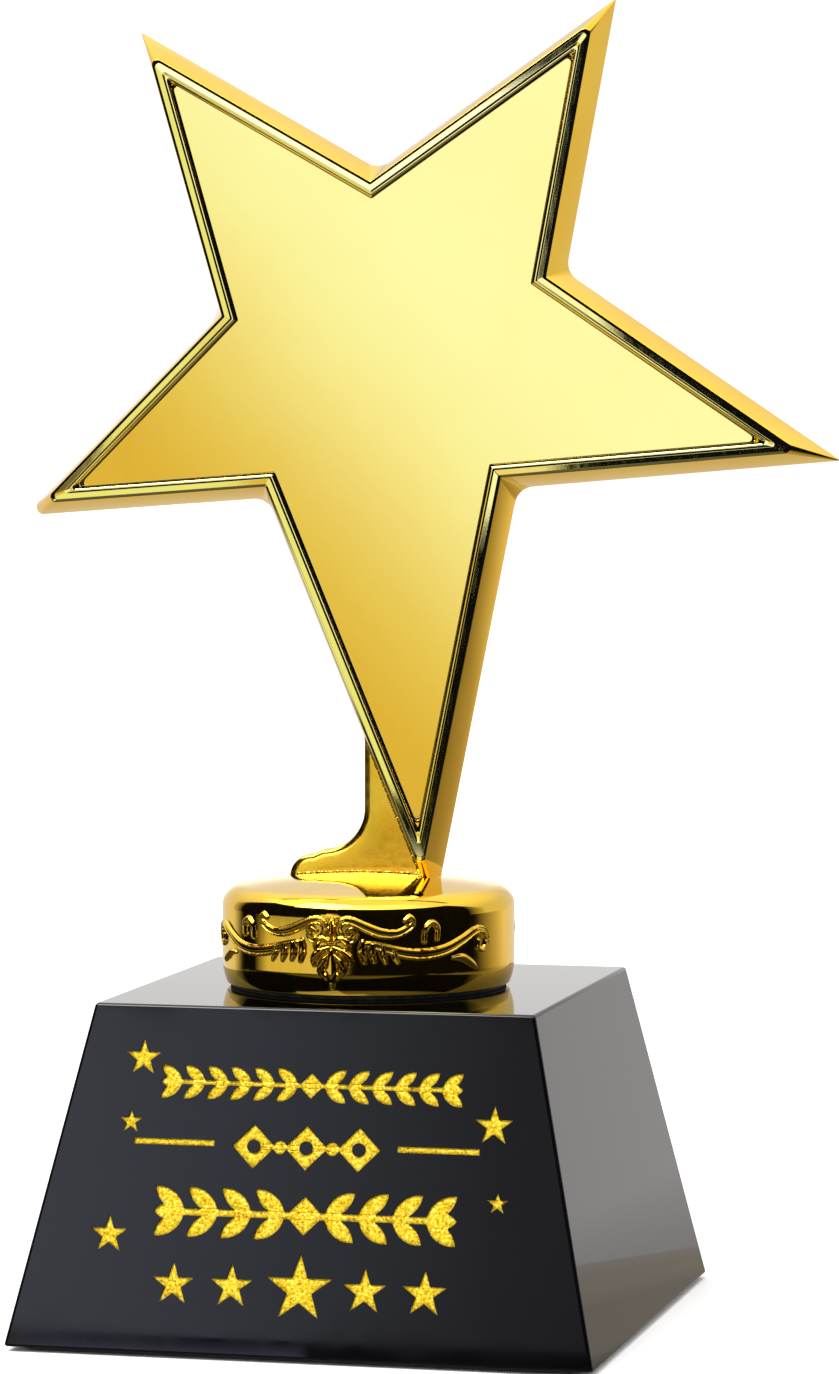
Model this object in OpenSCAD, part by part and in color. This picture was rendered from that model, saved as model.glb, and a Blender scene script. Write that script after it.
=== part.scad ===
// Star trophy: a gilt five-pointed star on a round cast riser and a black glass block.
// Millimetres. +Z is up, the front looks along -Y, and the origin is the centre of the
// underside of the felt, on the table.

/* [Base block] */
// side of the square at the foot of the glass block
base_w = 95; // [88:1:110]
// side of the square at the top of the glass block
base_top_w = 71.5; // [66:0.5:80]
// height of the glass block
base_h = 53.5; // [48:0.5:60]
// cut taken off the four upright edges
corner_cut = 1.2; // [0.6:0.1:2]
// bevel along the upper and lower edges
edge_bevel = 0.8; // [0.4:0.1:1.5]
// depth of the engraving in the front face
engrave_depth = 0.9; // [0.6:0.1:1.2]
// how far the gold fill stays below the glass
fill_below = 0.3; // [0.1:0.1:0.5]
// thickness of the felt under the block
felt_t = 0.8; // [0.5:0.1:1.5]

/* [Engraving] */
// height of the leaf band in the upper row
upper_band_h = 7; // [6:0.5:8]
// height of the lozenge chain in the middle row
middle_chain_h = 7; // [5:0.5:7.5]
// height of the leaf band in the lower row
lower_band_h = 10.4; // [8:0.2:11]
// half the length of the upper and lower bands
band_reach = 24.5; // [22:0.5:25]
// length of each short rule
rule_l = 13.2; // [10:0.2:14]
// width of each short rule
rule_w = 1; // [0.8:0.1:1.4]

/* [Riser] */
// radius of the riser's side wall
riser_r = 23.9; // [22.5:0.1:26]
// thickness of the gasket under the riser
gasket_t = 0.6; // [0.4:0.1:1]
// height of the crown of the riser above the glass
crown_h = 18.2; // [16.5:0.1:20]
// radius of the shallow dome on top
dome_r = 132; // [110:1:180]
// radius of the rounded upper shoulder
shoulder_r = 3.4; // [2.5:0.1:4.5]
// radius of the rounded lower edge
heel_r = 8.8; // [7:0.1:10]
// thickness of the casting
shell_t = 3; // [2.4:0.1:3.6]
// height of the raised ornament
relief_t = 0.9; // [0.5:0.1:1.2]

/* [Star] */
// position of the star's middle to the right of the base's middle
star_x = 2.9; // [2:0.1:4]
// height of the star's middle above the table
star_z = 156.5; // [155:0.5:160]
// distance from front rim to flat back
star_t = 6.6; // [5.5:0.1:8]
// how far each wall leans outward from front to back
wall_flare = 1.8; // [1:0.1:2.4]
// reach of the lengthened lower point
leg_reach = 84.2; // [82:0.1:87]
// reach of the right point
right_reach = 70.8; // [64:0.1:74]
// reach of the upper right point
upper_right_reach = 64.3; // [60:0.1:68]
// reach of the upper left point
upper_left_reach = 63.3; // [60:0.1:68]
// reach of the left point
left_reach = 62.2; // [58:0.1:68]
// mean distance of the five notches from the middle
notch_reach = 28.6; // [27:0.1:30]
// width of the raised rim, measured square to the edge
rim_w = 2.2; // [1.6:0.1:2.8]
// step from the rim down to the polished face
face_step = 0.6; // [0.3:0.1:1]
// thickness of the polished face plate
plate_t = 1.2; // [0.8:0.1:1.6]

/* [Stem and foot] */
// thickness of the upright plate
stem_t = 5; // [4:0.1:6]
// width of the upright plate
stem_w = 11; // [9:0.1:11.5]
// height of the top of the upright plate above the table
stem_top = 112; // [100:1:118]
// radius of the sweep between upright and toe
sweep_r = 7; // [6:0.1:8]
// radius of the toe
toe_r = 3.8; // [3.4:0.1:4.2]

/* [Fasteners] */
// shank diameter of the bolt through the block
bolt_d = 5; // [4:0.5:6]
// length of the bolt below its head
bolt_l = 50; // [48:1:51]
// diameter of the counterbore for head and washer
pocket_d = 18; // [16:0.5:20]
// depth of the counterbore
pocket_h = 14; // [12:0.5:16]
// shank diameter of the two foot screws
screw_d = 3; // [2.5:0.5:3.5]

/* [Hidden] */

black = [0.02, 0.02, 0.024];
gilt = [0.93, 0.72, 0.2];
pale_gilt = [0.98, 0.86, 0.42];
foil = [0.96, 0.8, 0.1];
zinc = [0.7, 0.7, 0.72];
felt_black = [0.05, 0.05, 0.05];

// smoothness of true curves, and the overshoot that makes a cut clean
fine = 96;
eps = 0.01;

glass_top = felt_t + base_h;
face_lean = atan((base_w - base_top_w) / 2 / base_h);
riser_foot = glass_top + gasket_t;
crown_z = glass_top + crown_h;
star_front = -4;
star_back = star_front + star_t;

// the riser's outline is made of four tangent curves
shoulder_x = riser_r - shoulder_r;
shoulder_z = crown_z - dome_r + sqrt(pow(dome_r - shoulder_r, 2) - pow(shoulder_x, 2));
tangent_x = shoulder_x * dome_r / (dome_r - shoulder_r);
heel_x = riser_r - heel_r;
heel_inset = 0.8;
heel_z = riser_foot + sqrt(pow(heel_r, 2) - pow(heel_r - heel_inset, 2));

// boss in the riser that the bolt screws into
boss_r = 5;
washer_r = 7.5;
washer_t = 1.2;
head_across_flats = 8;
head_h = 3.5;
thread_gap = 0.02;
bolt_gap = 0.3;
screw_sites = [[-9, 5.1], [6.6, 5.1]];
screw_grip = 6.6;
screw_head_r = 2.75;
screw_head_h = 1.8;

// points of the star in turn: leg, right, upper right, upper left, left
point_reach = [leg_reach, right_reach, upper_right_reach, upper_left_reach, left_reach];
point_bearing = [-85.2, -12.2, 56.9, 128, 202.4];
// notch that follows each point, as a share of the mean and a bearing
notch_share = [0.972, 1.066, 1.003, 0.962, 0.993];
notch_bearing = [-43.7, 25.5, 93.2, 165.3, 227.1];

function polar(reach, bearing) =
    [star_x + reach * cos(bearing), star_z + reach * sin(bearing)];

outline = [for (i = [0:9]) i % 2 == 0
    ? polar(point_reach[i / 2], point_bearing[i / 2])
    : polar(notch_reach * notch_share[(i - 1) / 2], notch_bearing[(i - 1) / 2])];

function left_normal(a, b) = [b[1] - a[1], a[0] - b[0]] / norm(b - a);

// corner i of the outline after both its edges move outward by d
function moved_corner(i, d) =
    let (a = outline[(i + 9) % 10], b = outline[i], c = outline[(i + 1) % 10],
         n1 = left_normal(a, b), n2 = left_normal(b, c))
    b + d * (n1 + n2) / (1 + n1 * n2);

function moved_outline(d) = [for (i = [0:9]) moved_corner(i, d)];

// ---------- shared shapes ----------

// the solid star: front outline at star_front, and the flared outline at star_back
module flared_star() {
    near = outline;
    far = moved_outline(wall_flare);
    // front and back are each cut into ten triangles about the star's middle
    polyhedron(
        points = concat([for (p = near) [p[0], star_front, p[1]]],
                        [for (p = far) [p[0], star_back, p[1]]],
                        [[star_x, star_front, star_z], [star_x, star_back, star_z]]),
        faces = concat([for (i = [0:9]) [(i + 1) % 10, i, 20]],
                       [for (i = [0:9]) [10 + i, 10 + (i + 1) % 10, 21]],
                       [for (i = [0:9]) [i, (i + 1) % 10, 10 + (i + 1) % 10, 10 + i]]));
}

// straight-walled star inside the rim, from depth y0 to y1
module inner_star(y0, y1) {
    translate([0, y1, 0])
        rotate([90, 0, 0])
            linear_extrude(y1 - y0)
                polygon(moved_outline(-rim_w));
}

// the ball whose cap is the riser's dome
module dome_ball() {
    translate([0, 0, crown_z - dome_r])
        sphere(r = dome_r, $fn = 4 * fine);
}

// puts a flat drawing on the sloping front face; local Z points out of the glass
module on_front() {
    translate([0, -base_w / 2, felt_t])
        rotate([90 - face_lean, 0, 0])
            children();
}

// regular five-pointed star in the plane, of full width w
module flat_star(w) {
    r = w / 2 / cos(18);
    inner = 0.382;
    polygon([for (i = [0:9]) (i % 2 == 0 ? r : inner * r) * [sin(36 * i), cos(36 * i)]]);
}

// pointed leaf from the origin along +X: the overlap of two circles
module leaf(l, w) {
    r = (l * l + w * w) / 4 / w;
    intersection() {
        translate([l / 2, r - w / 2])
            circle(r = r, $fn = fine);
        translate([l / 2, w / 2 - r])
            circle(r = r, $fn = fine);
    }
}

// garland of paired leaves that open away from a lozenge in the middle
module leaf_band(reach, h, pairs) {
    pitch = reach / (pairs + 0.5);
    leaf_l = 1.15 * pitch;
    leaf_w = 0.42 * leaf_l;
    tip_rise = (h - leaf_w) / 2;
    lean = asin(min(0.9, tip_rise / leaf_l));
    stem_w = 0.11 * h;
    lozenge_side = 0.42 * h;
    translate([-reach + pitch / 2, -stem_w / 2])
        square([2 * reach - pitch, stem_w]);
    rotate(45)
        square(lozenge_side, center = true);
    for (side = [0, 180]) rotate(side) {
        for (k = [1:pairs]) translate([(k - 0.42) * pitch, 0]) {
            rotate(lean)
                leaf(leaf_l, leaf_w);
            rotate(-lean)
                leaf(leaf_l, leaf_w);
        }
        translate([reach - 0.9 * pitch, 0])
            leaf(0.9 * pitch, leaf_w);
    }
}

// three pierced lozenges and two beads strung on a thin line
module lozenge_chain(h) {
    reach = 12;
    string_w = 0.8;
    bead_r = 1.1;
    hole_d = 0.3 * h;
    outer_x = reach - h / 2;
    square([2 * outer_x, string_w], center = true);
    for (x = [-1, 0, 1]) translate([x * outer_x, 0])
        difference() {
            rotate(45)
                square(h / sqrt(2), center = true);
            circle(d = hole_d, $fn = fine);
        }
    for (side = [-1, 1]) translate([side * outer_x / 2, 0])
        circle(r = bead_r, $fn = fine);
}

// ---------- engraved drawings, in face coordinates: across, and up the slope ----------

row_star_y = 10.9;
row_star_x = [-20.3, -10.8, 0.2, 10.7, 20.3];
row_star_w = [7, 7.1, 10.7, 7.3, 7.4];

module row_star(k) {
    translate([row_star_x[k], row_star_y])
        flat_star(row_star_w[k]);
}

loose_star = [[-27.2, 46.3, 6], [-28.7, 36.2, 3.9], [-31.2, 18.3, 6.2],
              [30.1, 37.3, 6.3], [31.2, 25.3, 3.5]];

module scattered_star(k) {
    translate([loose_star[k][0], loose_star[k][1]])
        flat_star(loose_star[k][2]);
}

rule_y = 33.2;
rule_x = 21.4;

module rule(side) {
    translate([side * rule_x, rule_y])
        square([rule_l, rule_w], center = true);
}

upper_band_y = 42.7;
middle_chain_y = 32.9;
lower_band_y = 22.3;

module upper_drawing() {
    translate([0.4, upper_band_y])
        leaf_band(band_reach, upper_band_h, 6);
}

module middle_drawing() {
    translate([0.1, middle_chain_y])
        lozenge_chain(middle_chain_h);
}

module lower_drawing() {
    translate([0.4, lower_band_y])
        leaf_band(band_reach, lower_band_h, 4);
}

module all_drawings() {
    for (k = [0:4]) row_star(k);
    for (k = [0:4]) scattered_star(k);
    rule(-1);
    rule(1);
    upper_drawing();
    middle_drawing();
    lower_drawing();
}

// gold fill of one drawing
module gold_fill() {
    color(foil) on_front()
        translate([0, 0, -engrave_depth])
            linear_extrude(engrave_depth - fill_below)
                children();
}

// ---------- base ----------

module felt_pad() {
    inset = 2;
    side = base_w - 2 * inset;
    corner = 3;
    color(felt_black)
        linear_extrude(felt_t) {
            square([side, side - 2 * corner], center = true);
            square([side - 2 * corner, side], center = true);
            for (x = [-1, 1], y = [-1, 1]) translate([x, y] * (side / 2 - corner))
                circle(r = corner, $fn = fine);
        }
}

// square of half side s with its corners cut by c, at height z
function cut_square(s, c, z) =
    [[s - c, -s, z], [s, -s + c, z], [s, s - c, z], [s - c, s, z],
     [-s + c, s, z], [-s, s - c, z], [-s, -s + c, z], [-s + c, -s, z]];

module pyramid_block() {
    foot = base_w / 2;
    top = base_top_w / 2;
    slope = (foot - top) / base_h;
    rings = concat(
        cut_square(foot - edge_bevel, corner_cut, felt_t),
        cut_square(foot - slope * edge_bevel, corner_cut, felt_t + edge_bevel),
        cut_square(top + slope * edge_bevel, corner_cut, glass_top - edge_bevel),
        cut_square(top - edge_bevel, corner_cut, glass_top));
    polyhedron(
        points = rings,
        faces = concat([[for (i = [0:7]) i]], [[for (i = [31:-1:24]) i]],
                       [for (r = [0:2], i = [0:7])
                           [8 * r + i, 8 * (r + 1) + i, 8 * (r + 1) + (i + 1) % 8,
                            8 * r + (i + 1) % 8]]));
}

module base_block() {
    color(black) difference() {
        pyramid_block();
        translate([0, 0, felt_t - eps])
            cylinder(d = pocket_d, h = pocket_h + eps, $fn = fine);
        cylinder(d = bolt_d + 2 * bolt_gap, h = glass_top + 1, $fn = fine);
        on_front()
            translate([0, 0, -engrave_depth])
                linear_extrude(engrave_depth + 1)
                    all_drawings();
    }
}

pocket_top = felt_t + pocket_h;

module bolt_washer() {
    color(zinc)
        translate([0, 0, pocket_top - washer_t])
            difference() {
                cylinder(r = washer_r, h = washer_t, $fn = fine);
                translate([0, 0, -eps])
                    cylinder(d = bolt_d + 2 * bolt_gap, h = washer_t + 2 * eps, $fn = fine);
            }
}

module clamp_bolt() {
    under_head = pocket_top - washer_t;
    color(zinc) {
        translate([0, 0, under_head - head_h])
            cylinder(d = head_across_flats / cos(30), h = head_h, $fn = 6);
        translate([0, 0, under_head - eps])
            cylinder(d = bolt_d, h = bolt_l + eps, $fn = fine);
    }
}

// ---------- riser ----------

module riser_gasket() {
    color(felt_black)
        translate([0, 0, glass_top])
            difference() {
                cylinder(r = riser_r - heel_inset - 0.5, h = gasket_t, $fn = fine);
                translate([0, 0, -eps])
                    cylinder(r = riser_r - shell_t - 1, h = gasket_t + 2 * eps, $fn = fine);
            }
}

// half section of the solid riser, to the right of its axis
module riser_section() {
    shoulder_foot = shoulder_z;
    intersection() {
        translate([0, crown_z - dome_r])
            circle(r = dome_r, $fn = 4 * fine);
        translate([0, shoulder_foot - 1])
            square([tangent_x, crown_z]);
    }
    translate([shoulder_x, shoulder_z])
        circle(r = shoulder_r, $fn = fine);
    translate([0, heel_z])
        square([riser_r, shoulder_foot - heel_z]);
    intersection() {
        translate([heel_x, heel_z])
            circle(r = heel_r, $fn = fine);
        translate([0, riser_foot])
            square([riser_r, heel_z]);
    }
    translate([0, riser_foot])
        square([heel_x, shoulder_foot - riser_foot]);
}

// thin curved stroke: part of a ring, from angle a0 counter-clockwise to a1 (under 180)
module arc_stroke(r, w, a0, a1) {
    big = 4 * r;
    intersection() {
        difference() {
            circle(r = r + w / 2, $fn = fine);
            circle(r = r - w / 2, $fn = fine);
        }
        polygon([[0, 0], big * [cos(a0), sin(a0)],
                 big * [cos((a0 + a1) / 2), sin((a0 + a1) / 2)], big * [cos(a1), sin(a1)]]);
    }
}

module curl(r, w) {
    difference() {
        circle(r = r + w / 2, $fn = fine);
        circle(r = r - w / 2, $fn = fine);
    }
}

// the right half of the scroll ornament, heights measured from the glass
module half_scroll() {
    stroke = 1.1;
    translate([2.9, 11.2])
        curl(1.5, stroke);
    translate([7.6, 21])
        arc_stroke(9.6, stroke, 242, 300);
    translate([12, 12.3])
        curl(0.8, stroke);
    translate([15.6, 10.6])
        curl(1.5, 0.9);
    translate([13, 22.5])
        arc_stroke(15.4, 1.5, 240, 299);
    translate([20.6, 9])
        curl(1, 0.9);
    for (k = [0:2]) translate([5.6 + 1.9 * k, 9.6])
        rotate(-100 + 14 * k)
            leaf(3.4 - 0.4 * k, 1.5);
}

// shell and drop that hang in the middle of the ornament
module pendant() {
    translate([0, 12.9])
        rotate(-90)
            leaf(5, 1.6);
    for (a = [-150, -120, -60, -30]) translate([0, 7.8])
        rotate(a)
            leaf(4, 1.7);
    translate([0, 7.6])
        rotate(-90)
            leaf(5.8, 2.8);
}

module ornament() {
    intersection() {
        translate([0, 0, glass_top])
            rotate([90, 0, 0])
                linear_extrude(riser_r + relief_t + 1) {
                    half_scroll();
                    mirror([1, 0])
                        half_scroll();
                    pendant();
                }
        translate([0, 0, riser_foot])
            cylinder(r = riser_r + relief_t, h = crown_h, $fn = fine);
    }
}

module riser() {
    color(gilt) difference() {
        union() {
            rotate_extrude($fn = fine)
                riser_section();
            difference() {
                union() {
                    ornament();
                    rotate(180)
                        ornament();
                }
                translate([0, 0, riser_foot - eps])
                    cylinder(r = riser_r - 1, h = crown_h, $fn = fine);
            }
        }
        // hollow underside with a boss for the bolt
        translate([0, 0, riser_foot - eps])
            difference() {
                cylinder(r = riser_r - shell_t, h = shoulder_z - riser_foot + eps, $fn = fine);
                cylinder(r = boss_r, h = crown_h, $fn = fine);
            }
        translate([0, 0, riser_foot - eps])
            cylinder(d = bolt_d + 2 * thread_gap, h = bolt_l - base_h + pocket_h, $fn = fine);
        for (p = screw_sites) translate([p[0], p[1], riser_foot])
            cylinder(d = screw_d + 2 * thread_gap, h = crown_h, $fn = fine);
    }
}

// ---------- star and its support ----------

module foot_screws() {
    color(zinc)
        for (p = screw_sites) translate([p[0], p[1], shoulder_z]) {
            translate([0, 0, -screw_head_h])
                cylinder(r = screw_head_r, h = screw_head_h, $fn = fine);
            translate([0, 0, -eps])
                cylinder(d = screw_d, h = screw_grip, $fn = fine);
        }
}

stem_left = -1.5;
toe_x = -10.4;
toe_z = 71.4;

// front view of the stem: upright, swept fillet and rounded toe
module stem_drawing() {
    foot_z = crown_z - 4;
    sweep_z = 76 + sweep_r;
    end_r = stem_w / 2;
    translate([stem_left, foot_z])
        square([stem_w, stem_top - end_r - foot_z]);
    translate([stem_left + end_r, stem_top - end_r])
        circle(r = end_r, $fn = fine);
    difference() {
        translate([stem_left - sweep_r, foot_z])
            square([sweep_r + 1, sweep_z - foot_z]);
        translate([stem_left - sweep_r, sweep_z])
            circle(r = sweep_r, $fn = fine);
    }
    polygon([[toe_x, foot_z], [stem_left, foot_z], [stem_left - sweep_r, 76],
             [toe_x, toe_z + toe_r]]);
    translate([toe_x, toe_z])
        circle(r = toe_r, $fn = fine);
}

module stem_foot() {
    color(gilt) difference() {
        translate([0, star_back + stem_t, 0])
            rotate([90, 0, 0])
                linear_extrude(stem_t)
                    stem_drawing();
        dome_ball();
        for (p = screw_sites) translate([p[0], p[1], shoulder_z])
            cylinder(d = screw_d + 2 * thread_gap, h = screw_grip + 0.5, $fn = fine);
    }
}

module star_frame() {
    color(gilt) difference() {
        flared_star();
        inner_star(star_front - 1, star_front + face_step + plate_t);
        dome_ball();
    }
}

module star_face_plate() {
    front = star_front + face_step;
    color(pale_gilt)
        inner_star(front, front + plate_t);
}

// ---------- the nodes ----------

felt_pad();
base_block();
clamp_bolt();
bolt_washer();
gold_fill() row_star(0);  // row_star_far_left
gold_fill() row_star(1);  // row_star_left
gold_fill() row_star(2);  // row_star_middle
gold_fill() row_star(3);  // row_star_right
gold_fill() row_star(4);  // row_star_far_right
gold_fill() scattered_star(0);  // left_star_upper
gold_fill() scattered_star(1);  // left_star_middle
gold_fill() scattered_star(2);  // left_star_lower
gold_fill() scattered_star(3);  // right_star_upper
gold_fill() scattered_star(4);  // right_star_lower
gold_fill() rule(-1);  // left_rule
gold_fill() rule(1);  // right_rule
gold_fill() upper_drawing();  // upper_leaf_band
gold_fill() middle_drawing();  // middle_lozenge_chain
gold_fill() lower_drawing();  // lower_leaf_band
riser_gasket();
riser();
foot_screws();
stem_foot();
star_frame();
star_face_plate();
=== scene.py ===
# %% [markdown]
# # A gilt star trophy on a black glass block
# The trophy is a cast star with a raised rim, standing on a round cast riser that is bolted
# to a block of black glass. The CAD model fixes the place and size of every piece. Here each
# piece is built again with the edges, curves and surface detail that make it look real.

# %% Load the packed model
import math

import bmesh
import bpy
import numpy as np
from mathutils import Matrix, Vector, noise
from mathutils.geometry import delaunay_2d_cdt


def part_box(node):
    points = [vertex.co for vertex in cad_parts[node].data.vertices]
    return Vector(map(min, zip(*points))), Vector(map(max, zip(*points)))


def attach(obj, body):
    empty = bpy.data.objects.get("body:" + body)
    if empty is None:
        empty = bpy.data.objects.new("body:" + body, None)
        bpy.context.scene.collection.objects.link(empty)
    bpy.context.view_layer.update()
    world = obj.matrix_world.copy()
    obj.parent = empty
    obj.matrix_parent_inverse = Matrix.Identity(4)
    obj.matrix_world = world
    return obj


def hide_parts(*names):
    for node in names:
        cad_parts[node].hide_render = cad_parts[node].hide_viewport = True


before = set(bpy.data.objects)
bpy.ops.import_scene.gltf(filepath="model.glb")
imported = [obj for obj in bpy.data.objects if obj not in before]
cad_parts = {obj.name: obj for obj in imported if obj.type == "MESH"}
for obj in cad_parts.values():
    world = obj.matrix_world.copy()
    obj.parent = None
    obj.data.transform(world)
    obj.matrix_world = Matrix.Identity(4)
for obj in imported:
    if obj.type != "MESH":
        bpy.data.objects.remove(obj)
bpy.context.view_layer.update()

# %% [markdown]
# ## Measurements
# Blender works in metres, but small metalwork is easier to think about in millimetres. MM
# turns one into the other. The boxes of the CAD nodes give every height and position.

# %% Millimetres and boxes
MM = 0.001


def node_box(name):
    """Lowest and highest corner of a CAD node, in millimetres."""
    low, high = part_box(name)
    return np.array(low) / MM, np.array(high) / MM


block_low, block_high = node_box("base_block")
riser_low, riser_high = node_box("riser")
gasket_low, gasket_high = node_box("riser_gasket")
plate_low, plate_high = node_box("star_face_plate")
star_low, star_high = node_box("star_frame")
stem_low, stem_high = node_box("stem_foot")
felt_low, felt_high = node_box("felt_pad")
glass_top = block_high[2]
glass_foot = block_low[2]
crown_z = riser_high[2]
print("glass top", glass_top, "crown", crown_z, "star", star_low, star_high)

# %% [markdown]
# ## Making meshes
# Most pieces here are grids: a row of points is repeated along the piece and neighbouring
# rows are joined by quads. These helpers turn lists of points into Blender objects.


# %% Mesh helpers
def add_piece(name, points, faces, smooth=True):
    """A mesh object from points in millimetres."""
    mesh = bpy.data.meshes.new(name)
    mesh.from_pydata((np.asarray(points, float) * MM).tolist(), [], faces)
    mesh.update()
    piece = bpy.data.objects.new(name, mesh)
    bpy.context.scene.collection.objects.link(piece)
    if smooth:
        mesh.polygons.foreach_set("use_smooth", [True] * len(mesh.polygons))
    print(f"{name}: {len(mesh.vertices)} points, {len(mesh.polygons)} faces")
    return piece


def loop_faces(rows, count, first=0):
    """Quads that join closed rows of count points each."""
    faces = []
    for r in range(rows - 1):
        a, b = first + r * count, first + (r + 1) * count
        for i in range(count):
            j = (i + 1) % count
            faces.append((a + i, a + j, b + j, b + i))
    return faces


def end_caps(rows, count):
    """One flat face over the first row and one over the last."""
    last = (rows - 1) * count
    return [tuple(range(count)), tuple(range(last, last + count))]


def outward(piece):
    """Turns every face so that its normal points out of the piece."""
    work = bmesh.new()
    work.from_mesh(piece.data)
    bmesh.ops.recalc_face_normals(work, faces=work.faces)
    work.to_mesh(piece.data)
    work.free()
    return piece


def sharpen(piece, degrees):
    """Keeps edges that turn more than this many degrees crisp."""
    piece.data.set_sharp_from_angle(angle=math.radians(degrees))
    return piece


print("two rows of three points are joined by", loop_faces(2, 3))


# %% [markdown]
# ## Surface finishes
# Every finish starts from the Principled shader. Small differences in colour, roughness and
# height across a surface are what separate a real metal or glass from a flat computer
# colour, so each finish layers a few noises at the scale its own maker would leave them.


# %% A finish and its nodes
class Finish:
    """One material and short ways to add nodes to it."""

    def __init__(self, name, colour, metallic=0.0, roughness=0.5, ior=1.5):
        self.material = bpy.data.materials.new(name)
        self.material.use_nodes = True
        self.tree = self.material.node_tree
        self.shader = self.tree.nodes["Principled BSDF"]
        self.shader.inputs["Base Color"].default_value = (*colour, 1)
        self.shader.inputs["Metallic"].default_value = metallic
        self.shader.inputs["Roughness"].default_value = roughness
        self.shader.inputs["IOR"].default_value = ior
        self.place = self.tree.nodes.new("ShaderNodeTexCoord").outputs["Object"]
        self.height = None

    def node(self, kind):
        return self.tree.nodes.new(kind)

    def link(self, source, target):
        self.tree.links.new(source, target)

    def noise(self, per_mm, detail=3.0, roughness=0.5, stretch=(1, 1, 1)):
        """Soft noise with about per_mm features in each millimetre."""
        mapping = self.node("ShaderNodeMapping")
        mapping.inputs["Scale"].default_value = stretch
        self.link(self.place, mapping.inputs["Vector"])
        made = self.node("ShaderNodeTexNoise")
        made.inputs["Scale"].default_value = per_mm / MM
        made.inputs["Detail"].default_value = detail
        made.inputs["Roughness"].default_value = roughness
        self.link(mapping.outputs["Vector"], made.inputs["Vector"])
        return made.outputs["Fac"]

    def cells(self, per_mm):
        """Distance from the middle of rounded cells, about per_mm in each millimetre."""
        made = self.node("ShaderNodeTexVoronoi")
        made.inputs["Scale"].default_value = per_mm / MM
        self.link(self.place, made.inputs["Vector"])
        return made.outputs["Distance"]

    def spread(self, value, low, high, start=0.0, end=1.0):
        """Maps a 0 to 1 value to the range low to high."""
        made = self.node("ShaderNodeMapRange")
        made.inputs["From Min"].default_value = start
        made.inputs["From Max"].default_value = end
        made.inputs["To Min"].default_value = low
        made.inputs["To Max"].default_value = high
        self.link(value, made.inputs["Value"])
        return made.outputs["Result"]

    def tint(self, value, stops):
        """Colour from a 0 to 1 value, by a list of (position, colour)."""
        ramp = self.node("ShaderNodeValToRGB")
        band = ramp.color_ramp
        while len(band.elements) < len(stops):
            band.elements.new(0.5)
        for element, (position, colour) in zip(band.elements, stops):
            element.position = position
            element.color = (*colour, 1)
        self.link(value, ramp.inputs["Fac"])
        return ramp.outputs["Color"]

    def bump(self, value, depth_mm, strength=1.0):
        """Raises the surface by up to depth_mm where value is 1."""
        made = self.node("ShaderNodeBump")
        made.inputs["Distance"].default_value = depth_mm * MM
        made.inputs["Strength"].default_value = strength
        self.link(value, made.inputs["Height"])
        if self.height is not None:
            self.link(self.height, made.inputs["Normal"])
        self.height = made.outputs["Normal"]
        self.link(self.height, self.shader.inputs["Normal"])

    def drive(self, value, socket):
        """Lets a varying value set one of the shader's sockets."""
        self.link(value, self.shader.inputs[socket])


print("helpers of a finish:", [key for key in vars(Finish) if not key.startswith("_")])

# %% [markdown]
# ### Gold plating
# Cast zinc is polished, then plated with a very thin bright gold. Plating follows the
# polished surface exactly, so it shows as a sharp mirror whose reflections swim a little
# where the buffing wheel left long soft waves. Fine wiping marks only change the roughness. The face
# and the front of the rim are polished once more and look sharper. Their gold is also painted
# paler than the rest, a painted highlight for the cream glare of their bright reflections.


# %% Bright gold and mirror gold
def gold_plating(name, deep, bright, waves_mm, polish):
    """Gold between two shades, with waves this deep and this roughness."""
    gold = Finish(name, bright, metallic=1.0, roughness=polish)
    patches = gold.noise(0.05, detail=2.0)
    gold.drive(gold.tint(patches, [(0.35, deep), (0.65, bright)]), "Base Color")
    wiping = gold.noise(0.9, detail=4.0, stretch=(1, 1, 0.2))
    gold.drive(gold.spread(wiping, polish * 0.6, polish * 1.7, 0.3, 0.7), "Roughness")
    gold.bump(gold.noise(0.09, detail=1.0), waves_mm)
    gold.bump(gold.noise(3.0, detail=2.0), 0.0004)
    return gold.material


cast_gold = gold_plating("bright_gold_plating", deep=(0.96, 0.60, 0.055),
                         bright=(1.0, 0.665, 0.075), waves_mm=0.012, polish=0.05)
# painted highlight: this gold is made paler than the cast gold, so the face and the rim's front band
# show cream as bright glare does
face_gold = gold_plating("polished_gold_painted_paler", deep=(1.0, 0.945, 0.37),
                         bright=(1.0, 0.965, 0.39), waves_mm=0.003, polish=0.03)
print("gold finishes:", cast_gold.name, face_gold.name)

# %% [markdown]
# The stem and foot were smoothed less than the rest before plating, so they keep a faint
# orange-peel and a softer shine: the same gold, a little rougher and more uneven.


# %% Satin gold
def satin_gold():
    gold = Finish("satin_gold_plating", (0.96, 0.64, 0.07), metallic=1.0, roughness=0.16)
    patches = gold.noise(0.10, detail=2.0)
    gold.drive(gold.tint(patches, [(0.35, (0.92, 0.58, 0.05)), (0.65, (1.0, 0.70, 0.09))]),
               "Base Color")
    wiping = gold.noise(0.8, detail=4.0)
    gold.drive(gold.spread(wiping, 0.11, 0.21, 0.3, 0.7), "Roughness")
    gold.bump(gold.noise(0.12, detail=1.0), 0.05)
    gold.bump(gold.noise(0.9, detail=2.0), 0.003)
    return gold.material


brushed_gold = satin_gold()
print("stem finish:", brushed_gold.name)

# %% [markdown]
# ### Black glass
# Optical glass that is dyed black shows almost no colour of its own: what the eye sees is
# the room mirrored in it, weakly where it is seen square on and strongly at a shallow
# angle. Faint finger smears show as slightly rougher patches.


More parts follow.
